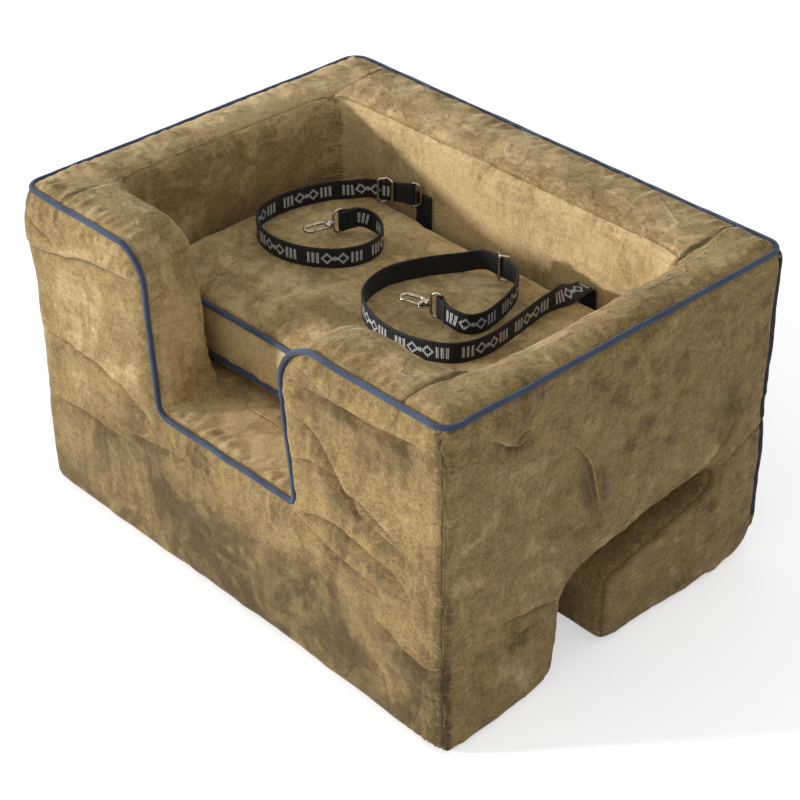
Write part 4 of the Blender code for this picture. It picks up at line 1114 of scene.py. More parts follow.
@dataclass
class RimPiping:
    """The corded piping round the rim and down round the notch."""

    half_width: float = 0.254
    half_depth: float = 0.1905
    height: float = 0.300
    inset: float = 0.0018
    radius: float = 0.0025
    shoulder: float = 0.010
    turn: float = 0.015
    sill: float = 0.150
    sides: int = 16
    step: float = 0.0025
    wander: float = 0.0003
    swelling: float = 0.045
    wander_length: float = 0.045
    swelling_length: float = 0.018
    seed: int = 50

    def corners(self) -> list[Corner]:
        """The corners (point, radius) of the piping's closed line.

        Returns:
            The corners.
        """
        inset, turn = self.inset, self.turn
        top, side, sill = self.height - inset, self.half_width - inset, self.sill - inset
        front, back = -self.half_depth + inset, self.half_depth - inset
        left, right = (-0.092 - inset, 0.290), (0.069 + inset, 0.286)
        left_top = left[0] - (top - left[1]) / NOTCH_SLOPE + inset * 2.5
        right_top = right[0] + (top - right[1]) / NOTCH_SLOPE - inset * 2.5
        face = (
            (-side, top, turn), (left_top, top, self.shoulder), (*left, 0.040 - inset),
            (-0.083 - inset, sill, 0.010 + inset), (0.085 + inset, sill, 0.004 + inset),
            (*right, 0.044 - inset), (right_top, top, self.shoulder), (side, top, turn),
        )
        rear = [((side, back, top), turn), ((-side, back, top), turn)]
        return [((x, front, z), radius) for x, z, radius in face] + rear

    def line(self) -> Array:
        """The piping's line, with points at an even step."""
        return spaced(rounded_path(self.corners(), closed=True), self.step, closed=True)

    def build(self, wardrobe: Wardrobe) -> None:
        """Makes and dresses the piping.

        Args:
            wardrobe: The finishes.
        """
        line = self.line()
        shifts = [ripple(line, self.wander_length, self.seed + axis) * self.wander for axis in range(3)]
        line = line + np.stack(shifts, axis=1)
        girth = 1.0 + self.swelling * ripple(line, self.swelling_length, self.seed + 4)
        mesh = sweep("rim_piping_cord", line, carried_sides(line, closed=True),
                     circle(self.radius, self.sides), closed=True, scale=girth)
        settle(linked("rim_piping_cord", mesh), wardrobe.piping, "piping", "seat_body", "rim_piping")


# The seat body's cover


class Panel(Enum):
    """The cloth panels: the piece's name, how much paler it is painted, partly for its nap and partly as
    painted light for how light falls on that face, and the solids that it stands for.
    """

    FRONT = ("suede_front_panel", -0.02, "cover_front_panel", "foam_front_leg")
    LEFT = ("suede_left_panel", 0.0, "cover_left_panel", "foam_left_wall")
    RIGHT = ("suede_right_panel", -0.02, "cover_right_panel", "foam_right_wall")
    BACK = ("black_back_panel", 0.0, "cover_back_panel", "foam_back_wall")
    LEG_BASE = ("suede_leg_base", 0.0, "cover_leg_base")
    FOOT_BASE = ("suede_foot_base", 0.05, "cover_foot_base", "foam_foot")
    SLOT = ("suede_slot_lining", 0.0, "belt_slot_lining", "foam_deck")
    RIM_LEFT = ("suede_rim_left", 0.34, "rim_band_left")
    RIM_RIGHT = ("suede_rim_right", -0.02, "rim_band_right")
    RIM_BACK = ("suede_rim_back", 0.08, "rim_band_back")
    RIM_FRONT_LEFT = ("suede_rim_front_left", 0.2, "rim_band_front_left", "foam_front_left_post")
    RIM_FRONT_RIGHT = ("suede_rim_front_right", 0.02, "rim_band_front_right", "foam_front_right_post")
    LINING_LEFT = ("suede_lining_left", 0.1, "lining_left")
    LINING_RIGHT = ("suede_lining_right", 0.1, "lining_right")
    LINING_BACK = ("suede_lining_back", 0.44, "lining_back")
    LINING_FRONT_LEFT = ("suede_lining_front_left", 0.15, "lining_front_left")
    LINING_FRONT_RIGHT = ("suede_lining_front_right", 0.1, "lining_front_right")
    DECK = ("suede_deck", 0.12, "lining_deck")
    SILL = ("suede_notch_sill", 0.26, "notch_sill")


@dataclass(frozen=True)
class Crease:
    """A fold in a flat face, along points (a, b) in the face's plane."""

    points: tuple[tuple[float, float], ...]
    depth: float
    width: float

    def line(self, seed: int, step: float = 0.004, rounds: int = 6, wobble: float = 0.0016) -> Array:
        """The crease's line with close points, smoothed and a little unsteady.

        Args:
            seed: Which random field moves it.
            step: How far apart its points are.
            rounds: How often it is smoothed.
            wobble: How far it strays.

        Returns:
            The points in the face's plane.
        """
        line = spaced([(a, b, 0.0) for a, b in self.points], step, closed=False)[:, :2]
        for _ in range(rounds):
            line[1:-1] = (line[:-2] + line[2:]) / 4 + line[1:-1] / 2
        line[:, 1] += wobble * ripple(np.pad(line, ((0, 0), (0, 1))), 0.030, seed)
        return line


FRONT_CREASES = (
    Crease(((-0.262, 0.242), (-0.189, 0.256), (-0.095, 0.271)), 0.0018, 0.0050),
    Crease(((-0.253, 0.164), (-0.184, 0.164), (-0.130, 0.155), (-0.086, 0.139)), 0.0024, 0.0050),
    Crease(((-0.248, 0.094), (-0.184, 0.101), (-0.106, 0.102)), 0.0018, 0.0050),
    Crease(((-0.133, 0.112), (-0.095, 0.116), (-0.058, 0.124)), 0.0020, 0.0040),
    Crease(((-0.258, 0.280), (-0.209, 0.261)), 0.0016, 0.0045),
    Crease(((0.078, 0.265), (0.144, 0.269), (0.251, 0.273)), 0.0022, 0.0046),
    Crease(((0.101, 0.282), (0.122, 0.272), (0.171, 0.270), (0.250, 0.277)), 0.0020, 0.0039),
    Crease(((0.080, 0.191), (0.109, 0.202), (0.138, 0.204), (0.190, 0.186), (0.235, 0.164)), 0.0033, 0.0055),
    Crease(((0.079, 0.241), (0.117, 0.229), (0.169, 0.183), (0.228, 0.165)), 0.0029, 0.0055),
    Crease(((0.087, 0.144), (0.120, 0.134), (0.148, 0.128), (0.186, 0.122)), 0.0029, 0.0050),
    Crease(((0.095, 0.147), (0.141, 0.158), (0.203, 0.147), (0.222, 0.133)), 0.0033, 0.0055),
    Crease(((0.180, 0.092), (0.235, 0.074), (0.262, 0.087)), 0.0025, 0.0055),
)
SIDE_CREASES = (
    Crease(((-0.058, 0.225), (-0.040, 0.205), (-0.026, 0.150)), 0.0011, 0.0050),
    Crease(((-0.148, 0.272), (-0.118, 0.250), (-0.096, 0.262)), 0.0014, 0.0040),
    Crease(((-0.135, 0.257), (-0.100, 0.263)), 0.0016, 0.0045),
    Crease(((0.107, 0.122), (0.141, 0.155)), 0.0024, 0.0045),
    Crease(((0.119, 0.116), (0.187, 0.134)), 0.0024, 0.0045),
    Crease(((-0.130, 0.095), (-0.095, 0.091), (-0.061, 0.083)), 0.0014, 0.0050),
    Crease(((-0.117, 0.075), (-0.087, 0.077)), 0.0013, 0.0045),
)
FAR_SIDE_CREASES = (
    Crease(((-0.160, 0.232), (-0.080, 0.214), (0.020, 0.226)), 0.0020, 0.0055),
    Crease(((0.110, 0.124), (0.150, 0.168)), 0.0024, 0.0045),
    Crease(((-0.150, 0.110), (-0.070, 0.092)), 0.0024, 0.0050),
    Crease(((0.020, 0.180), (0.100, 0.196), (0.180, 0.188)), 0.0018, 0.0055),
)
BACK_CREASES = (
    Crease(((-0.200, 0.245), (-0.060, 0.232), (0.060, 0.240)), 0.0016, 0.0060),
    Crease(((-0.140, 0.090), (0.020, 0.105), (0.190, 0.092)), 0.0018, 0.0060),
)


@dataclass
class CreaseField:
    """What the creases do at each point: a push outwards, painted shade in the folds' bottoms, a painted
    highlight above each fold with painted shade below it, and the ridges.
    """

    count: int
    ridge_far: float = 0.010
    ridge_width: float = 0.005
    reach: float = 0.03
    first_seed: int = 900

    def __post_init__(self) -> None:
        """Starts with no creases."""
        self.push, self.fold, self.paler, self.ridged = (np.zeros(self.count) for _ in range(4))
        self.ridge = np.full(self.count, self.ridge_far)

    def nearest(self, line: Array, spot: Array) -> tuple[Array, Array]:
        """Where each spot lies beside a crease's line.

        Args:
            line: The crease's points.
            spot: The spots in the face's plane.

        Returns:
            The distance with its side as a sign, and the share of the line's length.
        """
        best = np.full(len(spot), 9.0)
        side, share = np.zeros(len(spot)), np.zeros(len(spot))
        for k, (start, end) in enumerate(zip(line, line[1:])):
            step = end - start
            t = np.clip(((spot - start) @ step) / (step @ step), 0.0, 1.0)
            off = spot - start - t[:, None] * step
            away = np.hypot(off[:, 0], off[:, 1])
            closer = away < best
            best = np.where(closer, away, best)
            side = np.where(closer, np.sign(step[0] * off[:, 1] - step[1] * off[:, 0]), side)
            share = np.where(closer, (k + t) / (len(line) - 1), share)
        return best * side, share

    def press(self, places: Array, at: Array, creases: Sequence[Crease]) -> None:
        """Presses a face's creases in.

        Args:
            places: The places (a, b) in the face's plane.
            at: The points' numbers.
            creases: The face's creases.
        """
        self.ridge[at] = self.ridge_far
        self.ridged[at] = 0.0
        for number, crease in enumerate(creases):
            line = crease.line(self.first_seed + number)
            low, high = line.min(axis=0) - self.reach, line.max(axis=0) + self.reach
            inside = (places > low) & (places < high)
            near = np.flatnonzero(np.all(inside, axis=1))
            if not len(near):
                continue
            aside, share = self.nearest(line, places[near])
            own, width = at[near], crease.width
            taper = np.sin(np.pi * np.clip(share, 0.02, 0.98)) ** 0.6
            valley = np.exp(-((aside / width) ** 2) * 4.5)
            upper = bell(aside - 1.1 * width, width)
            lower = bell(aside + 2.0 * width, 2.0 * width)
            shade = bell(aside + 1.4 * width, 1.8 * width)
            self.push[own] += crease.depth * taper * (upper + 0.45 * lower - 1.7 * valley)
            # Painted shade in the fold's valley.
            self.fold[own] = np.maximum(self.fold[own], 0.8 * valley * taper)
            # Painted highlight above the fold and painted shade below it, kept as a change of the nap value.
            self.paler[own] += taper * (0.10 * upper - 0.17 * shade)
            across = aside - 0.55 * width
            strong = taper * bell(across, self.ridge_width)
            first = strong > self.ridged[own]
            kept = np.clip(across, -self.ridge_far, self.ridge_far)
            self.ridge[own] = np.where(first, kept, self.ridge[own])
            self.ridged[own] = np.where(first, strong, self.ridged[own])


@dataclass
class SeatCover:
    """The suede cover over the foam: a walled box with a notch, a leg, a belt slot and a foot."""

    half_width: float = 0.254
    half_depth: float = 0.1905
    height: float = 0.300
    corner: float = 0.006
    seat_corner: float = 0.014
    deck: float = 0.150
    deck_seam: float = 0.1545
    leg_rear: float = -0.063
    foot_front: float = -0.010
    slot_end: float = 0.120
    profile: tuple[Spot, ...] = (
        (-0.1905, 0.0, 0.006), (-0.063, 0.0, 0.014), (-0.063, 0.1015, 0.040), (0.120, 0.1214, 0.0112),
        (0.120, 0.0975, 0.0112), (-0.010, 0.070, 0.012), (-0.010, 0.0, 0.015), (0.1905, 0.0, 0.042),
        (0.1905, 0.300, 0.0), (-0.1905, 0.300, 0.0),
    )
    notch: tuple[Spot, ...] = (
        (-0.083, 0.150, 0.010), (0.085, 0.150, 0.004), (0.069, 0.286, 0.044),
        (0.069 + 0.034 / NOTCH_SLOPE, 0.320, 0.0), (-0.092 - 0.030 / NOTCH_SLOPE, 0.320, 0.0),
        (-0.092, 0.290, 0.040),
    )
    over: float = 0.020
    voxel: float = 0.0040
    cloth: float = 0.0022
    edge: float = 0.0024
    back_edge: float = 0.0036
    side_edge: float = 0.0095
    toe_edge: float = 0.0042
    heel_edge: float = 0.0123
    inner_edge: float = 0.0045
    flare: float = 0.0060
    hidden_share: float = 0.35
    front_puff: float = 0.0022
    side_puff: float = 0.0030
    back_puff: float = 0.0020
    rim_puff: float = 0.0034
    side_wall: float = 0.049
    end_wall: float = 0.068
    held_by_piping: float = 0.011
    seam_dip: float = 0.0012
    seam_width: float = 0.0024
    tip_out: float = 0.0075
    tip_forward: float = 0.0045
    sag: Ripple = Ripple(0.0009, 0.130, 11)
    lumps: Ripple = Ripple(0.00065, 0.055, 12)
    wrinkles: Ripple = Ripple(0.0011, 0.060, 13, (1.6, 1.6, 0.8))
    wrinkled: Ripple = Ripple(1.4, 0.16, 14)
    crumple: Ripple = Ripple(0.00030, 0.019, 15)
    seam_ripples: Ripple = Ripple(0.0004, 0.028, 17, (0.5, 0.5, 1.4))
    corner_folds: Ripple = Ripple(0.0016, 0.013, 19, (0.15, 0.15, 1.1))
    pleats: Ripple = Ripple(1.0, 0.017, 21)
    small_pleats: Ripple = Ripple(0.8, 0.009, 22)
    pleat_reach: Ripple = Ripple(0.007, 0.03, 23)
    side_folds: Ripple = Ripple(0.0006, 0.014, 24, (0.2, 1.0, 0.3))
    mouth_folds: Ripple = Ripple(0.0012, 0.015, 25, (0.3, 0.2, 1.0))
    end_folds: Ripple = Ripple(0.0006, 0.014, 26, (1.0, 0.2, 0.3))
    patches: Ripple = Ripple(0.13, 0.024, 31, (1.0, 1.0, 0.6))
    broad_patches: Ripple = Ripple(0.09, 0.060, 32, (1.0, 0.6, 1.0))
    edge_rounds: int = 5
    wall_rounds: int = 46
    tip_rounds: int = 10

    @property
    def brim(self) -> float:
        """The height of the seam where the rim bands meet the linings."""
        return self.height - self.inner_edge

    @property
    def corner_seam(self) -> float:
        """How far inside the seat's ends the linings' corner seams lie."""
        return self.seat_corner * 0.29

    def prism(self, axis: str, corners: Sequence[Spot], low: float, high: float) -> Object:
        """A helper solid with rounded corners (a, b, radius), from low to high along an axis.

        Args:
            axis: The axis that it lies along.
            corners: The corners (a, b, radius) across it.
            low: Where it begins.
            high: Where it ends.

        Returns:
            The helper.
        """
        order = {"X": (2, 0, 1), "Y": (0, 2, 1), "Z": (0, 1, 2)}[axis]
        outline = rounded_path([((a, b, 0.0), radius) for a, b, radius in corners], closed=True, facet=15.0)
        points = [[(p.x, p.y, level)[k] for k in order] for level in (low, high) for p in outline]
        faces = tube_faces(2, len(outline), closed=False)
        return linked("helper", turned_out(mesh_of("helper", points, faces[-2:] + faces[:-2])))

    def envelope(self) -> Mesh:
        """The cover's outer shape as one closed mesh of even small faces.

        Returns:
            The mesh.
        """
        wide, deep, over = self.half_width, self.half_depth, self.over
        inner, top = SEAT_HALF_WIDTH, self.height + self.over

        def oblong(half: float, front: float, back: float, radius: float) -> list[Spot]:
            """The corners of a rectangle in plan."""
            return [(x, y, radius) for x, y in ((-half, front), (half, front), (half, back), (-half, back))]

        body = self.prism("X", self.profile, -wide - over, wide + over)
        room = oblong(inner, SEAT_FRONT, SEAT_BACK, self.seat_corner)
        cutters = [
            ("INTERSECT", self.prism("Z", oblong(wide, -deep, deep, self.corner), -over, top)),
            ("DIFFERENCE", self.prism("Z", room, self.deck, top)),
            ("DIFFERENCE", self.prism("Y", self.notch, -deep - over, SEAT_FRONT + self.seat_corner + over)),
        ]
        for operation, cutter in cutters:
            modifier = body.modifiers.new("cut", "BOOLEAN")
            modifier.operation = operation
            modifier.object = cutter
            modifier.solver = "EXACT"
        even_faces(body, self.voxel)
        mesh = evaluated(body)
        discard(body, *[cutter for _, cutter in cutters])
        return mesh

    def inside(self, x: Array, y: Array) -> Array:
        """How far inside the box's sides each point is."""
        return np.minimum(self.half_width - np.abs(x), self.half_depth - np.abs(y))

    def softened(self, mesh: Mesh) -> None:
        """Rounds the cover's edges: a little outside, much more where the walls turn into the seat.

        Args:
            mesh: The cover.
        """
        points = coordinates(mesh)
        pairs = rows_of(mesh.edges, "vertices", 2, np.int64)
        points = relaxed(points, pairs, np.ones(len(points)), self.edge_rounds)
        x, y, z = points.T
        inside, wide = self.inside(x, y), np.abs(x)
        weight = ease((inside - 0.013) / 0.016) * ease((z - 0.160) / 0.030)
        jamb = ease((inside - 0.004) / 0.020) * ease((z - 0.165) / 0.030) * ease((0.125 - wide) / 0.02)
        points = relaxed(points, pairs, np.maximum(weight, jamb * (y < -0.08)), self.wall_rounds)
        tip = np.hypot(np.maximum(wide - self.half_width + 0.030, 0),
                       np.maximum(np.abs(y) - self.half_depth + 0.030, 0))
        weight = ease((tip - 0.022) / 0.014) * ease((z - 0.255) / 0.030)
        set_coordinates(mesh, relaxed(points, pairs, weight, self.tip_rounds))

    def seams(self) -> list[tuple[int, float, Callable[[Array, Array, Array], Array]]]:
        """The planes along which the panels meet: axis, place, and where each applies.

        Returns:
            The seams.
        """
        wide, deep = self.half_width - self.edge, self.half_depth - self.edge
        beside = lambda x, y, z: (y > -0.183) & (y < 0.183)
        corner = lambda x, y, z: (abs(x) > 0.18) & (abs(x) < 0.22) & (z > 0.152)
        rims = lambda x, y, z: (z > 0.280) & ((y > 0.110) | (y < -0.118))
        upright = lambda x, y, z: (abs(x) > 0.235) & (z > 0.03) & (z < 0.293)
        return [
            (1, -deep, lambda x, y, z: x < 9),
            (0, wide, beside),
            (0, -wide, beside),
            (1, self.half_depth - self.back_edge, lambda x, y, z: z > 0.02),
            (1, self.half_depth - self.side_edge, upright),
            (2, self.toe_edge, lambda x, y, z: (y > -0.085) & (y < 0.012) & (abs(x) < wide)),
            (2, self.heel_edge, lambda x, y, z: y > 0.142),
            (2, self.brim, lambda x, y, z: (abs(x) < 0.232) & (y > -0.172) & (y < 0.160)),
            (0, SEAT_HALF_WIDTH, rims),
            (0, -SEAT_HALF_WIDTH, rims),
            (1, SEAT_BACK - self.corner_seam, corner),
            (1, SEAT_FRONT + self.corner_seam, corner),
            (1, SEAT_FRONT - self.inner_edge, lambda x, y, z: (abs(x) < 0.135) & (z > 0.145)),
            (2, self.deck_seam, lambda x, y, z: (abs(x) < 0.215) & (y < 0.130) & (y > -0.189)),
        ]

    def cut(self, mesh: Mesh) -> Mesh:
        """Cuts the cover's faces along the seams, then splits each into four.

        Args:
            mesh: The cover.

        Returns:
            The finer mesh.
        """
        build = bmesh.new()
        build.from_mesh(mesh)
        bpy.data.meshes.remove(mesh)
        for axis, place, applies in self.seams():
            build.faces.ensure_lookup_table()
            centres = np.array([face.calc_center_median() for face in build.faces])
            near = (np.abs(centres[:, axis] - place) < 0.008) & applies(*centres.T)
            faces = [build.faces[k] for k in np.flatnonzero(near)]
            edges = {edge for face in faces for edge in face.edges}
            points = {point for face in faces for point in face.verts}
            way = (X_WAY, Y_WAY, Z_WAY)[axis]
            bmesh.ops.bisect_plane(build, geom=[*faces, *edges, *points], dist=0.0004, plane_co=way * place,
                                   plane_no=way)
        fine = bpy.data.meshes.new("cover")
        build.to_mesh(fine)
        build.free()
        obj = linked("cover", fine)
        obj.modifiers.new("finer", "SUBSURF").levels = 1
        mesh = evaluated(obj)
        discard(obj)
        mesh.shade_smooth()
        return mesh

    def panel_of(self, x: Array, y: Array, z: Array) -> Array:
        """Which panel each face belongs to, by its middle.

        Args:
            x: The places of the faces' middles across.
            y: Their places towards the back.
            z: Their heights.

        Returns:
            The panels' numbers in the order of Panel.
        """
        number = {panel: k for k, panel in enumerate(Panel)}
        wide, deep, brim = self.half_width - self.edge - 0.0002, self.half_depth - self.edge, self.brim
        inner, aside = SEAT_HALF_WIDTH, np.abs(x)
        room = (aside < inner + 0.012) & (y < SEAT_BACK + 0.012) & (z > 0.140)
        beside = (aside > 0.235) & (z > 0.036) & (z < 0.291)
        behind = y > self.half_depth - np.where(beside, self.side_edge, self.back_edge)
        jamb = room & (y < SEAT_FRONT - self.inner_edge) & (aside < 0.135)
        front = room & (y < SEAT_FRONT + self.corner_seam)
        rim, low = z > brim, room & (z < self.deck_seam)
        between_feet = (self.leg_rear + self.foot_front) / 2
        rules = [
            ((x > wide - 0.012) & (y < -0.18), Panel.RIGHT),
            ((x < -wide + 0.012) & (y < -0.18), Panel.LEFT),
            (room & (x < 0), Panel.LINING_LEFT),
            (room & (x > 0), Panel.LINING_RIGHT),
            (room & (y > SEAT_BACK - self.corner_seam), Panel.LINING_BACK),
            (front & (x < 0), Panel.LINING_FRONT_LEFT),
            (front & (x > 0), Panel.LINING_FRONT_RIGHT),
            (jamb & (x < 0), Panel.RIM_FRONT_LEFT),
            (jamb & (x > 0), Panel.RIM_FRONT_RIGHT),
            (low, Panel.DECK),
            (low & (y < SEAT_FRONT - self.inner_edge), Panel.SILL),
            (rim, Panel.RIM_BACK),
            (rim & (y < 0.0) & (x < 0), Panel.RIM_FRONT_LEFT),
            (rim & (y < 0.0) & (x > 0), Panel.RIM_FRONT_RIGHT),
            (rim & (x < -inner), Panel.RIM_LEFT),
            (rim & (x > inner), Panel.RIM_RIGHT),
            ((z < self.toe_edge) & (y < between_feet), Panel.LEG_BASE),
            ((z < self.toe_edge) & (y > between_feet), Panel.FOOT_BASE),
            ((z < self.heel_edge) & (y > 0.130), Panel.FOOT_BASE),
            ((z > self.heel_edge) & (z < brim) & (y > 0.140), Panel.BACK),
            (x > wide, Panel.RIGHT),
            (x < -wide, Panel.LEFT),
            (behind & (z > self.heel_edge), Panel.BACK),
            (y < -deep, Panel.FRONT),
        ]
        found = np.full(len(x), number[Panel.SLOT])
        for mask, panel in rules:
            found[mask] = number[panel]
        return found

    def seam_distance(self, points: Array) -> Array:
        """How far each point is from the nearest visible seam that has no piping.

        Args:
            points: The cover's points.

        Returns:
            The distances.
        """
        x, y, z = points.T
        far, wide = 1.0, np.abs(x)
        outer = np.abs(self.half_width - wide)
        at_side = outer < 0.010
        rims = (z > 0.285) & ((y > 0.110) | (y < -0.118))
        brim = (wide < 0.228) & (y > -0.165) & (y < 0.155) & (z > 0.27)
        slot = at_side & (y > self.leg_rear - 0.012) & (y < self.slot_end + 0.008) & (z < 0.130)
        return np.minimum.reduce([
            np.where(at_side, np.abs(y + self.half_depth - self.edge), far),
            np.where(at_side & (y > 0), np.abs(y - self.half_depth + self.side_edge), far),
            np.where(rims, np.abs(wide - SEAT_HALF_WIDTH), far),
            np.where(brim, np.abs(z - self.brim) * 1.6 + 0.0012, far),
            np.where(z > 0.16, np.hypot(wide - 0.2009, y - 0.1154), far),
            np.where(slot, np.abs(outer - self.edge), far),
        ])

    def rim_field(self, points: Array) -> tuple[Array, Array]:
        """How far each point is from the piping, and how far along the piping that is.

        Args:
            points: The cover's points.

        Returns:
            The distances, and the runs along the piping.
        """
        piping = RimPiping()
        line = piping.line()
        tree = KDTree(len(line))
        for k, point in enumerate(line):
            tree.insert(point, k)
        tree.balance()
        found = [tree.find(point) for point in points]
        return np.array([place[2] for place in found]), np.array([place[1] for place in found]) * piping.step

    def swollen(self, points: Array, normals: Array) -> Array:
        """How far the foam pushes the cloth out: uneven all over, and round in the middle of each face.

        Args:
            points: The cover's points.
            normals: The normal at each point.

        Returns:
            The push outwards.
        """
        x, y, z = points.T
        push = self.sag.over(points) + self.lumps.over(points) + self.crumple.over(points)
        push += self.wrinkles.ridges(points) * ease(self.wrinkled.over(points) + 0.35)
        across = np.clip(1 - (np.abs(x) / self.half_width) ** 4, 0, 1)
        deep = np.clip(1 - (np.abs(y) / self.half_depth) ** 4, 0, 1)
        tall = np.sin(np.pi * np.clip(z / self.height, 0.0, 1.0)) ** 0.6
        push += self.front_puff * np.clip(-normals[:, 1], 0, 1) * (y < -0.18) * across * tall
        push += self.side_puff * np.abs(normals[:, 0]) * (np.abs(x) > 0.245) * deep * tall
        push += self.back_puff * np.clip(normals[:, 1], 0, 1) * (y > 0.18) * across * tall
        wall = np.where(np.abs(x) > SEAT_HALF_WIDTH, self.side_wall, self.end_wall)
        crown = np.sin(np.pi * np.clip(self.inside(x, y) / wall, 0, 1)) * (z > self.height - 0.02)
        return push + self.rim_puff * np.clip(normals[:, 2], 0, 1) * crown

    def gathered(self, points: Array, rim: Array, along: Array) -> Array:
        """How far the pleats along the piping push the cloth.

        Args:
            points: The cover's points.
            rim: How far each is from the piping.
            along: How far along the piping that is.

        Returns:
            The push outwards.
        """
        x, y, _ = points.T
        flat = np.stack([along, rim * 0.35, np.zeros(len(rim))], axis=1)
        pleat = self.pleats.over(flat) + self.small_pleats.over(flat)
        reach = bell(rim - 0.010, 0.011 + self.pleat_reach.over(flat))
        strong = np.where((x > 0.10) & (y > -0.15), 0.0011, 0.0019)
        return (0.0013 + strong * pleat) * reach * (1 - bell(rim, self.held_by_piping) ** 4)

    def puckered(self, points: Array, seam: Array) -> Array:
        """How far the small folds over the rim's edge, in the notch and at the seams push the cloth.

        Args:
            points: The cover's points.
            seam: How far each point is from a seam.

        Returns:
            The push outwards.
        """
        x, y, z = points.T
        sideways = np.abs(x) > SEAT_HALF_WIDTH - 0.002
        edge = bell(z - self.height + 0.008, 0.014) * ease((self.inside(x, y) - 0.026) / 0.012)
        folds = np.where(sideways, self.side_folds.over(points), self.end_folds.over(points))
        mouth = bell(y - SEAT_FRONT + 0.004, 0.013) * (np.abs(x) < 0.14) * (z > 0.16) * (z < 0.29)
        corner = (y < -self.half_depth + 0.006) * (x > 0) * bell(x - 0.236, 0.020)
        push = folds * edge + self.mouth_folds.over(points) * mouth
        push += self.seam_ripples.over(points) * bell(seam, 0.020)
        push += np.maximum(self.corner_folds.over(points), 0) * corner
        return push - self.seam_dip * bell(seam, self.seam_width)

    def leant(self, points: Array, moved: Array, normals: Array, loose: Array) -> Array:
        """The moved points with the front left top corner bulging and the front right leg splayed.

        Args:
            points: The cover's points before.
            moved: The moved points, which are changed.
            normals: The normals before.
            loose: How free each point is of the piping, from 0 to 1.

        Returns:
            The moved points.
        """
        x, y, z = points.T
        tip = bell(np.hypot(x + self.half_width, y + self.half_depth), 0.070) * bell(z - 0.262, 0.030)
        moved[:, 0] -= self.tip_out * tip * np.clip(-normals[:, 0], 0, 1) * loose
        moved[:, 1] -= self.tip_forward * tip * np.clip(-normals[:, 1], 0, 1) * loose
        leg = ease((0.150 - z) / 0.150) * ease((x - 0.080) / 0.170) * ease((-0.050 - y) / 0.120)
        moved[:, 0] += self.flare * leg
        moved[:, 1] -= 0.6 * self.flare * leg
        moved[:, 2] = np.maximum(moved[:, 2], 0.0)
        return moved

    def nap_and_painted_shade(self, points: Array) -> Array:
        """How much paler each point is painted: painted shade low on the front, towards the front's right
        and on the right side, where less light falls, and uneven nap patches on the sides.

        Args:
            points: The cover's points.

        Returns:
            How much paler each point is.
        """
        x, y, z = points.T
        front = ease((-self.half_depth + 0.012 - y) / 0.008)
        # Painted shade: the front darkens downwards and to the right, with two darker spots low on it, and
        # the right side is darker.
        painted_shade = front * (0.33 * ease((0.215 - z) / 0.215) + 0.26 * ease((x + 0.16) / 0.16))
        painted_shade += 0.21 * front * bell(x + 0.045, 0.07) * bell(z - 0.090, 0.045)
        painted_shade += 0.06 * front * bell(x - 0.130, 0.07) * bell(z - 0.135, 0.035)
        painted_shade += 0.08 * ease((x - self.half_width + 0.012) / 0.008)
        sides = (np.abs(x) > self.half_width - 0.006) * (z < self.height - 0.010)
        patches = self.patches.over(points) + self.broad_patches.over(points)
        return 0.05 * front - painted_shade + sides * patches

    def formed(self, mesh: Mesh) -> dict[str, Array]:
        """Moves the cover's points out and in, as foam, tension and folds do.

        Args:
            mesh: The cover.

        Returns:
            What each point carries: how much painted shade its fold or seam gets, how much paler it is
                painted (nap patches, painted light on whole panels, and painted highlight and shade beside
                the creases), how far it is across a crease's ridge, how strong that ridge is, and how near a
                seam it is.
        """
        points, normals = coordinates(mesh), vertex_normals(mesh)
        x, y, _ = points.T
        rim, along = self.rim_field(points)
        seam = self.seam_distance(points)
        loose = 1.0 - bell(rim, self.held_by_piping)
        creases = CreaseField(len(points))
        for mask, axes, own in (
            (y < -self.half_depth + 0.004, (0, 2), FRONT_CREASES),
            (x > self.half_width - 0.004, (1, 2), SIDE_CREASES),
            (x < -self.half_width + 0.004, (1, 2), FAR_SIDE_CREASES),
            (y > self.half_depth - 0.004, (0, 2), BACK_CREASES),
        ):
            at = np.flatnonzero(mask)
            creases.press(points[at][:, axes], at, own)
        push = (self.swollen(points, normals) + creases.push) * loose
        push += self.gathered(points, rim, along) + self.puckered(points, seam)
        set_coordinates(mesh, self.leant(points, points + normals * push[:, None], normals, loose))
        return {
            "fold": np.clip(np.maximum(creases.fold, 0.72 * bell(seam, 0.0021)), 0, 1),
            "nap": self.nap_and_painted_shade(points) + creases.paler,
            "ridge": creases.ridge,
            "ridged": creases.ridged,
            "seam": bell(seam, 0.012),
        }

    def build(self, wardrobe: Wardrobe) -> None:
        """Makes and dresses every panel.

        Args:
            wardrobe: The finishes.
        """
        mesh = self.envelope()
        self.softened(mesh)
        mesh = self.cut(mesh)
        faces = rows_of(mesh.loops, "vertex_index", 1, np.int64).reshape(-1, 4)
        found = self.panel_of(*coordinates(mesh)[faces].mean(axis=1).T)
        carried = self.formed(mesh)
        points = coordinates(mesh)
        for number, panel in enumerate(Panel):
            # Each panel's nap value lifts or darkens its whole colour: partly its nap's direction, partly
            # painted light for how light falls on that face.
            name, nap, *nodes = panel.value
            used, index = np.unique(faces[found == number], return_inverse=True)
            piece = mesh_of(name, points[used], index.reshape(-1, 4))
            for label, values in carried.items():
                carry(piece, label, values[used] + (nap if label == "nap" else 0.0))
            obj = linked(name, piece)
            if panel is Panel.SLOT:
                obj.modifiers.new("fewer", "DECIMATE").ratio = self.hidden_share
                apply_modifiers(obj)
            shell = obj.modifiers.new("cloth", "SOLIDIFY")
            shell.thickness = self.cloth
            shell.offset = -1.0
            black = panel is Panel.BACK
            settle(obj, wardrobe.back if black else wardrobe.suede, "black_cloth" if black else "suede",
                   "seat_body", *nodes)
        bpy.data.meshes.remove(mesh)


# Cushion


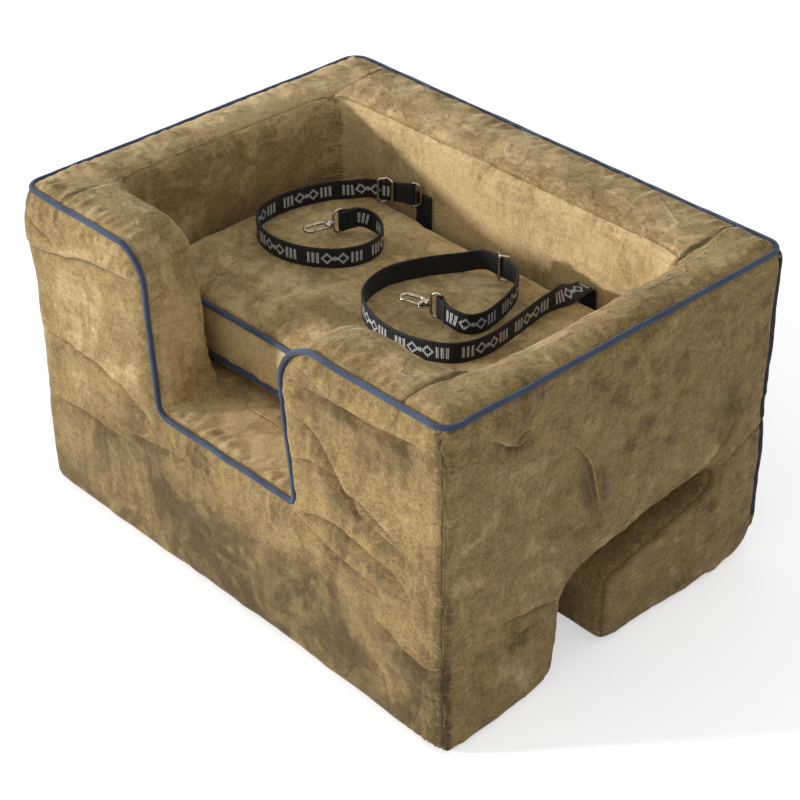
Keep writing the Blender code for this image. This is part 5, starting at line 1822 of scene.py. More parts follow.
@dataclass
class Cushion:
    """The lift-out cushion: a crowned top, a boxing between two corded seams, and a soft underside."""

    half_width: float = 0.2001
    front: float = -0.1126
    back: float = 0.1129
    corner: float = 0.030
    draw_in: float = 0.003
    low_cord: float = 0.162
    high_cord: float = CUSHION_HIGH_CORD
    floor: float = 0.1503
    cord: float = 0.0024
    shoulder_rise: float = 0.0165
    shoulder_depth: float = 0.024
    middle_rise: float = 0.0035
    turned_under: float = 0.014
    bulge: float = 0.0015
    voxel: float = 0.0045
    pressure: float = 4.0
    cloth_quality: int = 6
    cloth_mass: float = 0.15
    stretch_stiffness: float = 18.0
    shear_stiffness: float = 8.0
    bending_stiffness: float = 0.6
    frames: int = 20
    most_swell: float = 0.0045
    flat_reach: float = 0.016
    flat_fade: float = 0.042
    wall: float = 0.2044
    wall_back: float = 0.1188
    seam_dip: float = 0.0014
    seam_width: float = 0.0026
    # Painted light: how much paler the top and the boxing are painted, for how light falls on each.
    top_painted_light: float = 0.28
    boxing_painted_light: float = 0.48
    lumps: Ripple = Ripple(0.0010, 0.070, 31)
    small_lumps: Ripple = Ripple(0.0006, 0.032, 32)
    wrinkles: Ripple = Ripple(1.0, 0.075, 33, (1.8, 0.9, 1.0))
    wrinkled: Ripple = Ripple(1.4, 0.15, 34)
    seam_ripples: Ripple = Ripple(0.0009, 0.017, 35, (0.8, 0.8, 3.0))

    @property
    def middle(self) -> float:
        """The cushion's middle from front to back."""
        return (self.front + self.back) / 2

    def outline(self) -> Array:
        """The seam line in plan: round corners, with the sides drawn in between them.

        Returns:
            The outline's points.
        """
        wide, front, back = self.half_width, self.front, self.back
        spots = [(-wide, front, 0.0), (wide, front, 0.0), (wide, back, 0.0), (-wide, back, 0.0)]
        line = rounded_path([(spot, self.corner) for spot in spots], closed=True)
        rows = spaced(line, 0.004, closed=True)[:, :2]
        u = rows[:, 0] / wide
        v = (rows[:, 1] - self.middle) / ((back - front) / 2)
        rows[:, 0] -= self.draw_in * u * np.abs(u) ** 3 * (1 - v * v)
        rows[:, 1] -= self.draw_in * v * np.abs(v) ** 3 * (1 - u * u)
        return rows

    def ring(self, outline: Array, inset: float, height: float, share: float = 1.0) -> Array:
        """The outline moved inwards and scaled towards the middle, at one height.

        Args:
            outline: The seam line in plan.
            inset: How far it moves inwards.
            height: The ring's height.
            share: How large it stays, from 0 to 1.

        Returns:
            The ring's points.
        """
        along = unit(np.roll(outline, -1, axis=0) - np.roll(outline, 1, axis=0))
        x, y = (outline + np.stack([-along[:, 1], along[:, 0]], axis=1) * inset).T
        return np.column_stack([x * share, self.middle + (y - self.middle) * share, np.full(len(x), height)])

    def rings(self) -> Array:
        """The cushion's rings from the middle of its underside to the middle of its top.

        Returns:
            The rings' points.
        """
        low, high, floor = self.low_cord, self.high_cord, self.floor
        under, shoulder = self.turned_under, self.shoulder_depth
        stages = [(under, floor, share) for share in (0.05, 0.45, 0.80, 0.95)]
        for angle in np.radians(np.linspace(90, 0, 6)):
            height = floor + (low - floor) * (1 - math.sin(angle))
            stages.append((under * (1 - math.cos(angle)), height, 1.0))
        for share in np.linspace(0.1, 0.9, 9):
            stages.append((-self.bulge * 4 * share * (1 - share), low + (high - low) * share, 1.0))
        for angle in np.radians(np.linspace(0, 90, 8)):
            height = high + self.shoulder_rise * math.sin(angle)
            stages.append((shoulder * (1 - math.cos(angle)), height, 1.0))
        for share in (0.9, 0.8, 0.6, 0.45, 0.3, 0.15, 0.02):
            rise = self.middle_rise * (1 - share * share)
            stages.append((shoulder, high + self.shoulder_rise + rise, share))
        outline = self.outline()
        return np.array([self.ring(outline, *stage) for stage in stages])

    def body(self) -> Object:
        """The cushion before it is filled, as a closed mesh of even small faces.

        Returns:
            The cushion.
        """
        obj = linked("seat_cushion", tube("seat_cushion", self.rings()))
        even_faces(obj, self.voxel)
        apply_modifiers(obj)
        return obj

    def seam_reach(self, points: Array) -> Array:
        """How far each point is above or below the nearer corded seam."""
        return np.minimum(np.abs(points[:, 2] - self.low_cord), np.abs(points[:, 2] - self.high_cord))

    def filled(self, obj: Object) -> Array:
        """Fills the cushion as cloth under pressure, with its two seams and its underside held.

        Args:
            obj: The cushion.

        Returns:
            Its points once filled.
        """
        rest = coordinates(obj.data)
        fixed = (self.seam_reach(rest) < self.voxel * 0.6) | (rest[:, 2] < self.floor + 0.001)
        obj.vertex_groups.new(name="held").add(np.flatnonzero(fixed).tolist(), 1.0, "REPLACE")
        cloth = obj.modifiers.new("filling", "CLOTH")
        settings = cloth.settings
        settings.quality = self.cloth_quality
        settings.mass = self.cloth_mass
        settings.tension_stiffness = settings.compression_stiffness = self.stretch_stiffness
        settings.shear_stiffness = self.shear_stiffness
        settings.bending_stiffness = self.bending_stiffness
        settings.use_pressure = True
        settings.uniform_pressure_force = self.pressure
        settings.effector_weights.gravity = 0.0
        settings.vertex_group_mass = "held"
        cloth.collision_settings.use_collision = False
        cloth.point_cache.frame_start, cloth.point_cache.frame_end = 1, self.frames
        scene = bpy.context.scene
        for number in range(1, self.frames + 1):
            scene.frame_set(number)
            bpy.context.view_layer.update()
        mesh = evaluated(obj)
        points = coordinates(mesh)
        obj.modifiers.clear()
        obj.vertex_groups.clear()
        bpy.data.meshes.remove(mesh)
        scene.frame_set(1)
        return points

    def freedom(self, points: Array, routes: Array, above: Array) -> tuple[Array, Array]:
        """How far each point is from the tethers in plan, and how free of their weight it is.

        Args:
            points: The points.
            routes: Points of the tethers' lines.
            above: Which points are on the top, where the tethers lie.

        Returns:
            The distances and the freedom from 0 to 1.
        """
        apart = points[:, None, :2] - routes[None, ::6, :2]
        away = np.min(np.hypot(apart[:, :, 0], apart[:, :, 1]), axis=1)
        free = ease((away - self.flat_reach) / (self.flat_fade - self.flat_reach))
        return away, np.where(above, free, 1.0)

    def swollen(self, obj: Object, routes: Array) -> Mesh:
        """Fills the cushion, but for the ground under the tethers, and splits each face into four.

        Args:
            obj: The cushion.
            routes: Points of the tethers' lines.

        Returns:
            The finer mesh.
        """
        rest = coordinates(obj.data)
        swell = self.filled(obj) - rest
        size = np.linalg.norm(swell, axis=1, keepdims=True)
        swell *= np.minimum(1.0, self.most_swell / np.maximum(size, 1e-9))
        _, free = self.freedom(rest, routes, rest[:, 2] > self.high_cord)
        set_coordinates(obj.data, rest + swell * free[:, None])
        obj.modifiers.new("finer", "SUBSURF").levels = 1
        return apply_modifiers(obj)

    def shaped(self, obj: Object, routes: Array) -> None:
        """Fills the cushion, keeps it flat under the tethers, and folds its cloth at the seams.

        Args:
            obj: The cushion.
            routes: Points of the tethers' lines.
        """
        mesh = self.swollen(obj, routes)
        points, normals = coordinates(mesh), vertex_normals(mesh)
        top = points[:, 2] > self.high_cord + 0.004
        away, free = self.freedom(points, routes, top)
        seam = self.seam_reach(points)
        sharp = self.wrinkles.ridges(points) * ease(self.wrinkled.over(points) + 0.4) * free
        push = (self.lumps.over(points) + self.small_lumps.over(points)) * (0.25 + 0.75 * free)
        push += 0.0010 * sharp + self.seam_ripples.over(points) * bell(seam, 0.010)
        push -= self.seam_dip * bell(seam, self.seam_width)
        moved = points + normals * push[:, None]
        moved[:, 2] = np.maximum(moved[:, 2], self.floor)
        moved[:, 0] = np.clip(moved[:, 0], -self.wall, self.wall)
        moved[:, 1] = np.minimum(moved[:, 1], self.wall_back)
        under = top & (away < self.flat_reach)
        moved[under, 2] = np.minimum(moved[under, 2], points[under, 2] + 0.0002)
        set_coordinates(mesh, moved)
        # Painted shade along the corded seams and the sharp wrinkles, and a painted lift of the top and the
        # boxing for how light falls on them.
        carry(mesh, "fold", np.clip(np.maximum(0.8 * bell(seam, 0.0028), 0.25 * sharp), 0, 1))
        carry(mesh, "nap", np.where(top, self.top_painted_light, self.boxing_painted_light))

    def cords(self, wardrobe: Wardrobe) -> None:
        """Makes and dresses the two corded seams.

        Args:
            wardrobe: The finishes.
        """
        for name, solid, height, seed in (
            ("cushion_low_cord", "cushion_piping_bottom", self.low_cord, 61),
            ("cushion_high_cord", "cushion_piping_top", self.high_cord, 62),
        ):
            ring = spaced(self.ring(self.outline(), 0.0, height), 0.003, closed=True)
            ring[:, 2] += 0.0004 * ripple(ring, 0.050, seed)
            mesh = sweep(name, ring, Z_WAY, circle(self.cord, 14), closed=True,
                         scale=1 + 0.04 * ripple(ring, 0.016, seed + 4))
            settle(linked(name, mesh), wardrobe.piping, "piping", "cushion", solid)

    def build(self, wardrobe: Wardrobe, routes: Array) -> None:
        """Makes and dresses the cushion.

        Args:
            wardrobe: The finishes.
            routes: Points of the tethers' lines, which lie on the cushion.
        """
        obj = self.body()
        self.shaped(obj, routes)
        settle(obj, wardrobe.cushion, "suede", "cushion",
               "cushion_foam", "cushion_top_panel", "cushion_bottom_panel", "cushion_boxing")
        self.cords(wardrobe)


# Tethers


LEFT_ROUTE = (
    (-0.4683, -0.0034), (-0.5024, -0.0202), (-0.5366, -0.0371), (-0.5707, -0.0539), (-0.6049, -0.0708),
    (-0.6390, -0.0877), (-0.6927, -0.1235), (-0.7463, -0.1804), (-0.7902, -0.2689), (-0.8146, -0.3869),
    (-0.7951, -0.5006), (-0.7220, -0.5765), (-0.6098, -0.6186), (-0.4878, -0.6228), (-0.3707, -0.5891),
    (-0.2780, -0.5217), (-0.2341, -0.4374), (-0.2439, -0.3531), (-0.2976, -0.2899), (-0.3707, -0.2562),
    (-0.4341, -0.2646), (-0.4732, -0.2984), (-0.4878, -0.3405),
)
RIGHT_ROUTE = (
    (0.5376, 0.0000), (0.5385, -0.0308), (0.5415, -0.0729), (0.5473, -0.1361), (0.5610, -0.2394),
    (0.5854, -0.3616), (0.6049, -0.4753), (0.6049, -0.5765), (0.5659, -0.6608), (0.4878, -0.7113),
    (0.3610, -0.7408), (0.2390, -0.7366), (0.1268, -0.7071), (0.0341, -0.6523), (-0.0195, -0.5638),
    (-0.0293, -0.4669), (0.0049, -0.3700), (0.0488, -0.2878), (0.0902, -0.2183), (0.1317, -0.1719),
    (0.1732, -0.1542), (0.2098, -0.1530), (0.2439, -0.1530), (0.2780, -0.1530), (0.3146, -0.1542),
    (0.3610, -0.1740), (0.4049, -0.2204), (0.4463, -0.2941), (0.4732, -0.3784), (0.4829, -0.4543),
    (0.4537, -0.5091), (0.4000, -0.5301), (0.3512, -0.5259), (0.3073, -0.5091),
)
Line = list[tuple[Vector, Vector]]


def stitch_tree() -> NodeTree:
    """A row of stitches along every edge of a mesh, each a short bent thread.

    Returns:
        The tree, with inputs for the pitch, the stitch's length, the thread's radius and its material.
    """
    tree = bpy.data.node_groups.new("stitch_row", "GeometryNodeTree")
    for label, kind in (("Geometry", "Geometry"), ("Pitch", "Float"), ("Stitch Length", "Float"),
                        ("Thread Radius", "Float"), ("Thread", "Material")):
        tree.interface.new_socket(label, in_out="INPUT", socket_type=f"NodeSocket{kind}")
    tree.interface.new_socket("Geometry", in_out="OUTPUT", socket_type="NodeSocketGeometry")
    hand = Nodes(tree)
    start = hand.add("NodeGroupInput").outputs
    curve = hand.add("GeometryNodeMeshToCurve", {"Mesh": start["Geometry"]}).outputs["Curve"]
    even = hand.add("GeometryNodeResampleCurve", {"Curve": curve, "Length": start["Pitch"]}, mode="LENGTH")
    round_thread = {"Segments": 8, "Rings": 6, "Radius": start["Thread Radius"]}
    ball = hand.add("GeometryNodeMeshUVSphere", round_thread)
    stretch = hand.math("DIVIDE", hand.times(start["Stitch Length"], 0.5), start["Thread Radius"])
    size = hand.add("ShaderNodeCombineXYZ", {0: 1.0, 1: 1.0, 2: stretch})
    tangent = hand.add("GeometryNodeInputTangent").outputs["Tangent"]
    turn = hand.add("FunctionNodeAlignRotationToVector", {"Vector": tangent}, axis="Z")
    feeds = {"Points": even.outputs["Curve"], "Instance": ball.outputs["Mesh"],
             "Rotation": turn.outputs["Rotation"], "Scale": size.outputs["Vector"]}
    place = hand.add("GeometryNodeInstanceOnPoints", feeds).outputs["Instances"]
    real = hand.add("GeometryNodeRealizeInstances", {"Geometry": place}).outputs["Geometry"]
    dressed = hand.add("GeometryNodeSetMaterial", {"Geometry": real, "Material": start["Thread"]})
    hand.add("NodeGroupOutput", {"Geometry": dressed.outputs["Geometry"]})
    return tree


@dataclass
class Stitching:
    """Sewn rows, made by one Geometry Nodes tree."""

    pitch: float = 0.0021
    length: float = 0.0019
    radius: float = 0.00028

    def build(self, name: str, rows: Sequence[Array], thread: Material, tree: NodeTree) -> Object:
        """Sews the rows.

        Args:
            name: The piece's name.
            rows: The lines to sew along.
            thread: The thread's material.
            tree: The stitch tree.

        Returns:
            The stitches as one piece.
        """
        edges: list[tuple[int, int]] = []
        base = 0
        for row in rows:
            edges += [(base + k, base + k + 1) for k in range(len(row) - 1)]
            base += len(row)
        guide = bpy.data.meshes.new("guide")
        guide.from_pydata(np.vstack(rows).tolist(), edges, [])
        obj = linked(name, guide)
        modifier = obj.modifiers.new("stitches", "NODES")
        modifier.node_group = tree
        names = {item.name: item.identifier for item in tree.interface.items_tree if item.in_out == "INPUT"}
        values = {"Pitch": self.pitch, "Stitch Length": self.length, "Thread Radius": self.radius,
                  "Thread": thread}
        for label, value in values.items():
            modifier[names[label]] = value
        apply_modifiers(obj)
        return obj


def frame_at(origin: Vector, onwards: Vector, up: Vector) -> Matrix:
    """The frame at a point that looks onwards, with Z as near to up as it can be.

    Args:
        origin: The point.
        onwards: The way onwards.
        up: The way up.

    Returns:
        The frame as a matrix.
    """
    x = onwards.normalized()
    z = (up - x * up.dot(x)).normalized()
    turn = Matrix((x, z.cross(x), z)).transposed().to_4x4()
    turn.translation = origin
    return turn


def trimmed(line: Line, length: float) -> Line:
    """The line without its first stretch of this length.

    Args:
        line: The line.
        length: How much comes off.

    Returns:
        What is left.
    """
    left = length
    for k, ((here, edge), (after, _)) in enumerate(zip(line, line[1:])):
        step = (after - here).length
        if step > left:
            return [(here.lerp(after, left / step), edge)] + line[k + 1:]
        left -= step
    return line[-1:]


def curved(p0: Vector, p1: Vector, p2: Vector, p3: Vector, t: float) -> Vector:
    """The place at a share t of the way from p1 to p2, on a smooth curve through all four."""
    pull = p2 - p0 + (2 * p0 - 5 * p1 + 4 * p2 - p3) * t + (3 * p1 - p0 - 3 * p2 + p3) * t * t
    return p1 + pull * (t / 2)


@dataclass
class Fittings:
    """The plated pieces of a tether, each in a frame with X onwards, Y aside and Z along the width."""

    width: float = 0.019
    thickness: float = 0.0018
    clearance: float = 0.0003
    wire: float = 0.0011
    wire_step: float = 0.0004
    reach: float = 0.0085
    ring_play: float = 0.0007
    bar_corner: float = 0.0020
    nose_corner: float = 0.0060
    post: float = 0.0015
    post_head: float = 0.0023
    head_length: float = 0.0014
    barrel: float = 0.0036
    barrel_length: float = 0.0050
    hook_wire: float = 0.0016
    hook_length: float = 0.0225
    hook_half_width: float = 0.0065
    root_depth: float = 0.0010
    root_aside: float = 0.0026
    neck: float = 0.0040
    hook_return: float = 0.0020
    gate: float = 0.0010
    gate_root: float = 0.0015
    gate_forward: float = 0.0005
    gate_aside: float = 0.0054
    tip_gap: float = 0.0004
    pin: float = 0.0006
    ear_half: float = 0.0020
    ear_margin: float = 0.0016
    ear: float = 0.0012
    slider_length: float = 0.0155
    slider_play: float = 0.0008
    slider_corner: float = 0.0022
    loop_length: float = 0.013
    loop_neck: float = 0.0065
    loop_arc: float = 110.0
    loop_play: float = 0.0005

    @property
    def barrel_start(self) -> float:
        """Where the swivel's barrel begins."""
        return self.reach + self.wire + self.clearance

    @property
    def barrel_end(self) -> float:
        """Where the swivel's barrel ends."""
        return self.barrel_start + self.barrel_length

    @property
    def lane(self) -> float:
        """How far the hook's wire runs from its middle line."""
        return self.hook_half_width - self.hook_wire

    @property
    def nose(self) -> float:
        """The middle of the hook's round end."""
        return self.barrel_end + self.hook_length - self.hook_half_width

    @property
    def pivot(self) -> tuple[float, float]:
        """Where the gate's pin stands, onwards and aside."""
        return self.barrel_end + self.gate_forward, self.gate_aside

    def wire_mesh(self, corners: Sequence[Corner], radius: float, closed: bool, blunt: float = 1.0) -> Mesh:
        """Round wire along rounded corners, with domed ends where it is open.

        Args:
            corners: The corners (point, radius).
            radius: The wire's radius.
            closed: Whether the wire closes on itself.
            blunt: How far the last stretch keeps its thickness before the dome, from 0 to 1.

        Returns:
            The mesh.
        """
        line = spaced(rounded_path(corners, closed, facet=5.0), self.wire_step, closed)
        size = np.ones(len(line))
        if not closed:
            run = np.arange(len(line)) * self.wire_step
            for along in (run, run[::-1]):
                dome = np.clip(along / (radius * blunt), 0.0, 1.0)
                size *= np.sqrt(np.clip(1 - (1 - dome) ** 2, 0.02, 1.0))
        return sweep("wire", line, carried_sides(line, closed), circle(radius, 16), closed, scale=size)

    def turned(self, axis: Vector, origin: Sequence[float], profile: Sequence[tuple[float, float]]) -> Mesh:
        """A turned piece with radii (place, radius) along the X or the Z way from an origin.

        Args:
            axis: Its axis.
            origin: Where it begins.
            profile: The radii (place, radius).

        Returns:
            The mesh.
        """
        place, radius = np.array(profile).T
        side = np.array(Y_WAY if axis is Z_WAY else Z_WAY)
        turn = circle(1.0, 28)
        spokes = turn[:, :1] * side + turn[:, 1:] * np.cross(axis, side)
        middles = np.array(origin) + place[:, None] * np.array(axis)
        return tube("turned", middles[:, None] + spokes * np.maximum(radius, 0.00005)[:, None, None])

    def ring(self) -> Mesh:
        """The D ring, with its straight bar in the webbing's fold and a rounded nose ahead of it.

        Returns:
            The mesh.
        """
        high = self.width / 2 + self.ring_play + self.wire
        corners = [
            ((0.0, 0.0, -high), self.bar_corner), ((self.reach, 0.0, -high), self.nose_corner),
            ((self.reach, 0.0, high), self.nose_corner), ((0.0, 0.0, high), self.bar_corner),
        ]
        return self.wire_mesh(corners, self.wire, closed=True)

    def eye(self) -> Mesh:
        """The D ring with the post, the rivet head that the hook swivels on, and a collar.

        Returns:
            The mesh.
        """
        start, post, head, wire = self.barrel_end + self.clearance, self.post, self.post_head, self.wire
        turned = [
            (self.reach, [(0.0, 0.0), (0.0, post), (start - self.reach, post)]),
            (start, [(0.0, 0.0), (0.0, head * 0.9), (0.0002, head), (0.0007, head * 0.95),
                     (self.head_length * 0.85, head * 0.6), (self.head_length, 0.0)]),
            (self.reach - wire * 0.7, [(0.0, 0.0), (0.0, post * 1.1), (wire * 0.7, post * 1.35),
                                       (wire * 1.7, post * 1.25), (wire * 1.7, 0.0)]),
        ]
        pieces = [self.turned(X_WAY, (x, 0.0, 0.0), radii) for x, radii in turned]
        return joined_mesh("eye", [self.ring(), *pieces])

    def ears(self) -> list[Mesh]:
        """The two rounded plates that hold the gate's pin.

        Returns:
            The plates' meshes.
        """
        x, aside = self.pivot
        half, far, near = self.ear_half, aside + self.ear_margin, self.gate + self.clearance
        small, large, rim, inner = 0.0004, 0.0019, 0.00015, 0.93
        corners = [((x - half, 0.0, 0.0), small), ((x + half, 0.0, 0.0), small),
                   ((x + half, far, 0.0), large), ((x - half, far, 0.0), large)]
        outline = np.array(rounded_path(corners, closed=True, facet=12.0))
        middle = outline.mean(axis=0)
        plates = []
        for low, high in ((near, near + self.ear), (-near - self.ear, -near)):
            levels = ((low, inner), (low + rim, 1.0), (high - rim, 1.0), (high, inner))
            rings = [middle + (outline - middle) * share + (0.0, 0.0, level) for level, share in levels]
            plates.append(tube("ear", np.array(rings)))
        return plates

    def hook(self) -> Mesh:
        """The ridged barrel, the bent wire with its domed tip, and the ears of the gate.

        Returns:
            The mesh.
        """
        end, lane, nose, bend = self.barrel_end, self.lane, self.nose, self.lane * 0.999
        corners = [
            ((end - self.root_depth, -self.root_aside, 0.0), 0.0), ((end + self.neck, -lane, 0.0), 0.0040),
            ((nose + lane, -lane, 0.0), bend), ((nose + lane, lane, 0.0), bend),
            ((nose - self.hook_return, lane, 0.0), 0.0),
        ]
        length, wide, bore = self.barrel_length, self.barrel, self.post + 0.0004
        barrel = self.turned(X_WAY, (self.barrel_start, 0.0, 0.0), [
            (0.0, bore), (0.0, wide * 0.86), (0.0003, wide * 0.97), (0.0012, wide), (0.0014, wide * 0.93),
            (0.0018, wide * 0.93), (0.0020, wide), (length - 0.0006, wide), (length - 0.0001, wide * 0.90),
            (length, wide * 0.7), (length, bore)])
        wire = self.wire_mesh(corners, self.hook_wire, closed=False)
        return joined_mesh("hook", [wire, barrel, *self.ears()])

    def gate_bar(self) -> Mesh:
        """The gate's bar with its round root.

        Returns:
            The mesh.
        """
        ends = [(*self.pivot, 0.0), (self.nose - self.hook_return - self.tip_gap, self.lane, 0.0)]
        bar = self.wire_mesh([(end, 0.0) for end in ends], self.gate, closed=False, blunt=0.6)
        thick, wide = 2 * self.gate, self.gate_root
        root = self.turned(Z_WAY, (*self.pivot, -self.gate), [
            (0.0, 0.0), (0.0, wide * 0.9), (0.0002, wide), (thick - 0.0002, wide), (thick, wide * 0.9),
            (thick, 0.0)])
        return joined_mesh("gate", [bar, root])

    def gate_pin(self) -> Mesh:
        """The gate's pin with its peened ends.

        Returns:
            The mesh.
        """
        reach, wide = self.gate + self.clearance + self.ear, self.pin
        return self.turned(Z_WAY, (*self.pivot, -reach - 0.0002), [
            (0.0, 0.0), (0.00005, wide * 0.9), (0.0002, wide * 1.25), (0.0003, wide),
            (2 * reach + 0.0001, wide), (2 * reach + 0.0002, wide * 1.25),
            (2 * reach + 0.00035, wide * 0.9), (2 * reach + 0.0004, 0.0)])

    def slider(self) -> Mesh:
        """A frame whose end bars pass on one side of the webbing and its middle bar on the other.

        Returns:
            The mesh.
        """
        end = self.slider_length / 2 - self.wire
        aside = self.thickness / 2 + self.clearance + self.wire
        high = self.width / 2 + self.slider_play + self.wire
        top, bottom = (0.0, -aside, high), (0.0, -aside, -high)
        spots = [(-end, aside, -high), (-end, aside, high), top,
                 (end, aside, high), (end, aside, -high), bottom]
        border = self.wire_mesh([(spot, self.slider_corner) for spot in spots], self.wire, closed=True)
        middle = self.wire_mesh([(bottom, 0.0), (top, 0.0)], self.wire, closed=False)
        return joined_mesh("slider", [border, middle])

    def loop_path(self) -> Array:
        """The middle line of the webbing folded round a ring's bar and sewn down behind it.

        Returns:
            The line's points.
        """
        half = self.thickness / 2
        outer = self.wire + self.loop_play + half
        angles = math.radians(self.loop_arc) * (np.arange(25) / 12 - 1)
        bend = np.stack([outer * np.cos(angles), outer * np.sin(angles), np.zeros(25)], axis=1)
        tails = np.array([(self.loop_length, half, 0.0), (self.loop_neck, half, 0.0)])
        return np.vstack([-tails, bend, tails[::-1] * (-1.0, 1.0, 1.0)])

    def stitch_rows(self) -> list[Array]:
        """The sewn box and its cross on both faces of a loop's tail.

        Returns:
            The rows' points.
        """
        start, end = -self.loop_length + 0.0012, -self.loop_neck - 0.0002
        high = self.width / 2 - 0.0022
        box = [(start, -high), (end, -high), (end, high), (start, high), (start, -high)]
        shapes = (box, [(start, -high), (end, high)], [(start, high), (end, -high)])
        levels = (self.thickness + 0.00005, -self.thickness - 0.00005)
        return [np.array([(a, level, c) for a, c in shape]) for level in levels for shape in shapes]


@dataclass
class Tether:
    """One webbing tether that lies on edge on the cushion, with its slider, swivel eye and hook."""

    number: int
    route: tuple[tuple[float, float], ...]
    slider_point: int
    hook_way: tuple[float, float]
    crease_turn: bool
    both_faces: bool
    fittings: Fittings
    route_back: float = 0.1118
    shoulder_line: float = 0.0862
    ray_start: float = 0.3
    lift: float = 0.0006
    steps: int = 2
    spacing: float = 0.0012
    fitting_lift: float = 0.0036
    fitting_level: float = 0.016
    fitting_reach: float = 0.036
    setback: float = 0.0017
    crease_start: float = 0.0125
    crease_lift: float = 0.0054
    crease_radius: float = 0.006
    crease_steps: int = 5
    twist: float = 0.045
    tail_base: float = 0.1503
    face_points: int = 9
    edge_points: int = 3

    @property
    def name(self) -> str:
        """The tether's name as its pieces begin with it."""
        return f"tether_{self.number}"

    def crest(self, surface: BVHTree, point: Vector) -> float:
        """The cushion's height under a point, or that of its shoulder behind a point at the crease."""
        y = min(point.y, self.shoulder_line)
        return surface.ray_cast(Vector((point.x, y, self.ray_start)), -Z_WAY)[0].z

    def line(self, surface: BVHTree) -> Line:
        """The webbing's middle line, each point with the way that its upper edge lies.

        Args:
            surface: The cushion's top.

        Returns:
            The line.
        """
        depth = self.route_back - SEAT_FRONT
        plan = [Vector((x * SEAT_HALF_WIDTH, self.route_back + y * depth)) for x, y in self.route]
        held = (plan[self.slider_point], plan[-1]) + (() if self.crease_turn else (plan[0],))
        last = len(plan) - 1
        points = []
        for i in range(last):
            near = (plan[max(i - 1, 0)], plan[i], plan[i + 1], plan[min(i + 2, last)])
            points += [curved(*near, k / self.steps) for k in range(self.steps)]
        points.append(plan[last])
        line = []
        run = 0.0
        for i, point in enumerate(points):
            run += (point - points[i - 1]).length if i else 0.0
            turn = math.radians(90) * (float(ease(run / self.twist)) if self.crease_turn else 1.0)
            away = min((point - fitting).length for fitting in held)
            near_fitting = ease((self.fitting_reach - away) / (self.fitting_reach - self.fitting_level))
            half = self.crease_lift + (self.fittings.width / 2 - self.crease_lift) * math.sin(turn)
            height = self.crest(surface, point) + self.lift + half + self.fitting_lift * float(near_fitting)
            line.append((Vector((point.x, point.y, height)), Vector((-math.cos(turn), 0.0, math.sin(turn)))))
        return line

    def crease_rise(self, first: Vector) -> Line:
        """The webbing straight up out of the crease and bent over to where the route starts.

        Args:
            first: Where the route starts.

        Returns:
            The stretch.
        """
        back, radius = SEAT_BACK - self.setback, self.crease_radius
        rise = [Vector((first.x, back, CUSHION_HIGH_CORD + self.crease_start))]
        for k in range(self.crease_steps):
            angle = math.radians(90) * k / self.crease_steps
            y, z = back - radius * (1 - math.cos(angle)), first.z - radius + radius * math.sin(angle)
            rise.append(Vector((first.x, y, z)))
        return [(point, -X_WAY) for point in rise]

    def profile(self) -> Array:
        """The webbing's section, across and out: the lower face, an edge, the upper face, an edge.

        Returns:
            The section's points.
        """
        wide, thick = self.fittings.width / 2, self.fittings.thickness / 2
        across = np.linspace(-1.0, 1.0, self.face_points) * (wide - thick)
        turn = np.radians(np.linspace(-90, 90, self.edge_points + 2)[1:-1])
        right = np.stack([wide - thick + thick * np.cos(turn), thick * np.sin(turn)], axis=1)
        low, high = (np.stack([way, np.full(self.face_points, level)], axis=1)
                     for way, level in ((across, -thick), (across[::-1], thick)))
        return np.vstack([low, right, high, -right])

    def webbing(self, name: str, path: Array, edges: Array | Vector, printed: tuple[float, float]) -> Mesh:
        """Webbing along a path, with its print on the faces that carry it.

        Args:
            name: The mesh's name.
            path: The middle line.
            edges: The way of the upper edge, at each point or for all of them.
            printed: How strongly each of the two faces is printed.

        Returns:
            The mesh.
        """
        profile = self.profile()
        mesh = sweep(name, path, edges, profile, closed=False)
        columns, count = len(profile), self.face_points
        layer = mesh.uv_layers["cloth"].data
        flat = rows_of(layer, "uv", 2, np.float32)
        flat[:, 1] = profile[rows_of(mesh.loops, "vertex_index", 1, np.int64)[:, 0] % columns, 0]
        layer.foreach_set("uv", flat.ravel())
        face = np.zeros(columns)
        upper = count + self.edge_points
        face[:count], face[upper:upper + count] = printed
        carry(mesh, "printed", np.tile(face, len(path)))
        return mesh

    def smooth_line(self, line: Line, start_way: Vector, end_way: Vector) -> tuple[Array, Array]:
        """The line with close points on it, and the upper edge's way at each.

        Args:
            line: The line's points and edge ways.
            start_way: The way in which it starts.
            end_way: The way in which it ends.

        Returns:
            The points and the ways.
        """
        path, edge = (np.array([tuple(pair[k]) for pair in line]) for k in range(2))
        before = path[0] - np.array(start_way.normalized()) * np.linalg.norm(path[1] - path[0])
        after = path[-1] + np.array(end_way.normalized()) * np.linalg.norm(path[-1] - path[-2])
        padded = np.vstack([before, path, after])
        edges = np.vstack([edge[:1], edge, edge[-1:]])
        points, ways = [], []
        for i in range(1, len(padded) - 2):
            near = padded[i - 1:i + 3]
            count = max(1, round(np.linalg.norm(near[2] - near[1]) / self.spacing))
            for k in range(count):
                t = k / count
                points.append(curved(*near, t))
                ways.append(edges[i] * (1 - t) + edges[i + 1] * t)
        return np.array([*points, padded[-2]]), unit(np.array([*ways, edges[-2]]))

    def placed(self, name: str, mesh: Mesh, place: Matrix, material: Material, slot: str, body: str,
               node: str) -> Object:
        """Puts a fitting's mesh into its frame and dresses it.

        Args:
            name: The piece's name.
            mesh: The fitting's mesh.
            place: Its frame.
            material: Its finish.
            slot: Not used, only passed on to settle.
            body: The body that it rides on.
            node: The solid that it stands for.

        Returns:
            The piece.
        """
        mesh.transform(place)
        mesh.name = name
        return settle(linked(name, mesh), material, slot, body, node)

    def metal(self, label: str, mesh: Mesh, place: Matrix, body: str, wardrobe: Wardrobe) -> Object:
        """Puts a plated fitting into its frame and dresses it."""
        node = f"{self.name}_{label}"
        return self.placed(node + "_metal", mesh, place, wardrobe.nickel, "nickel", body, node)

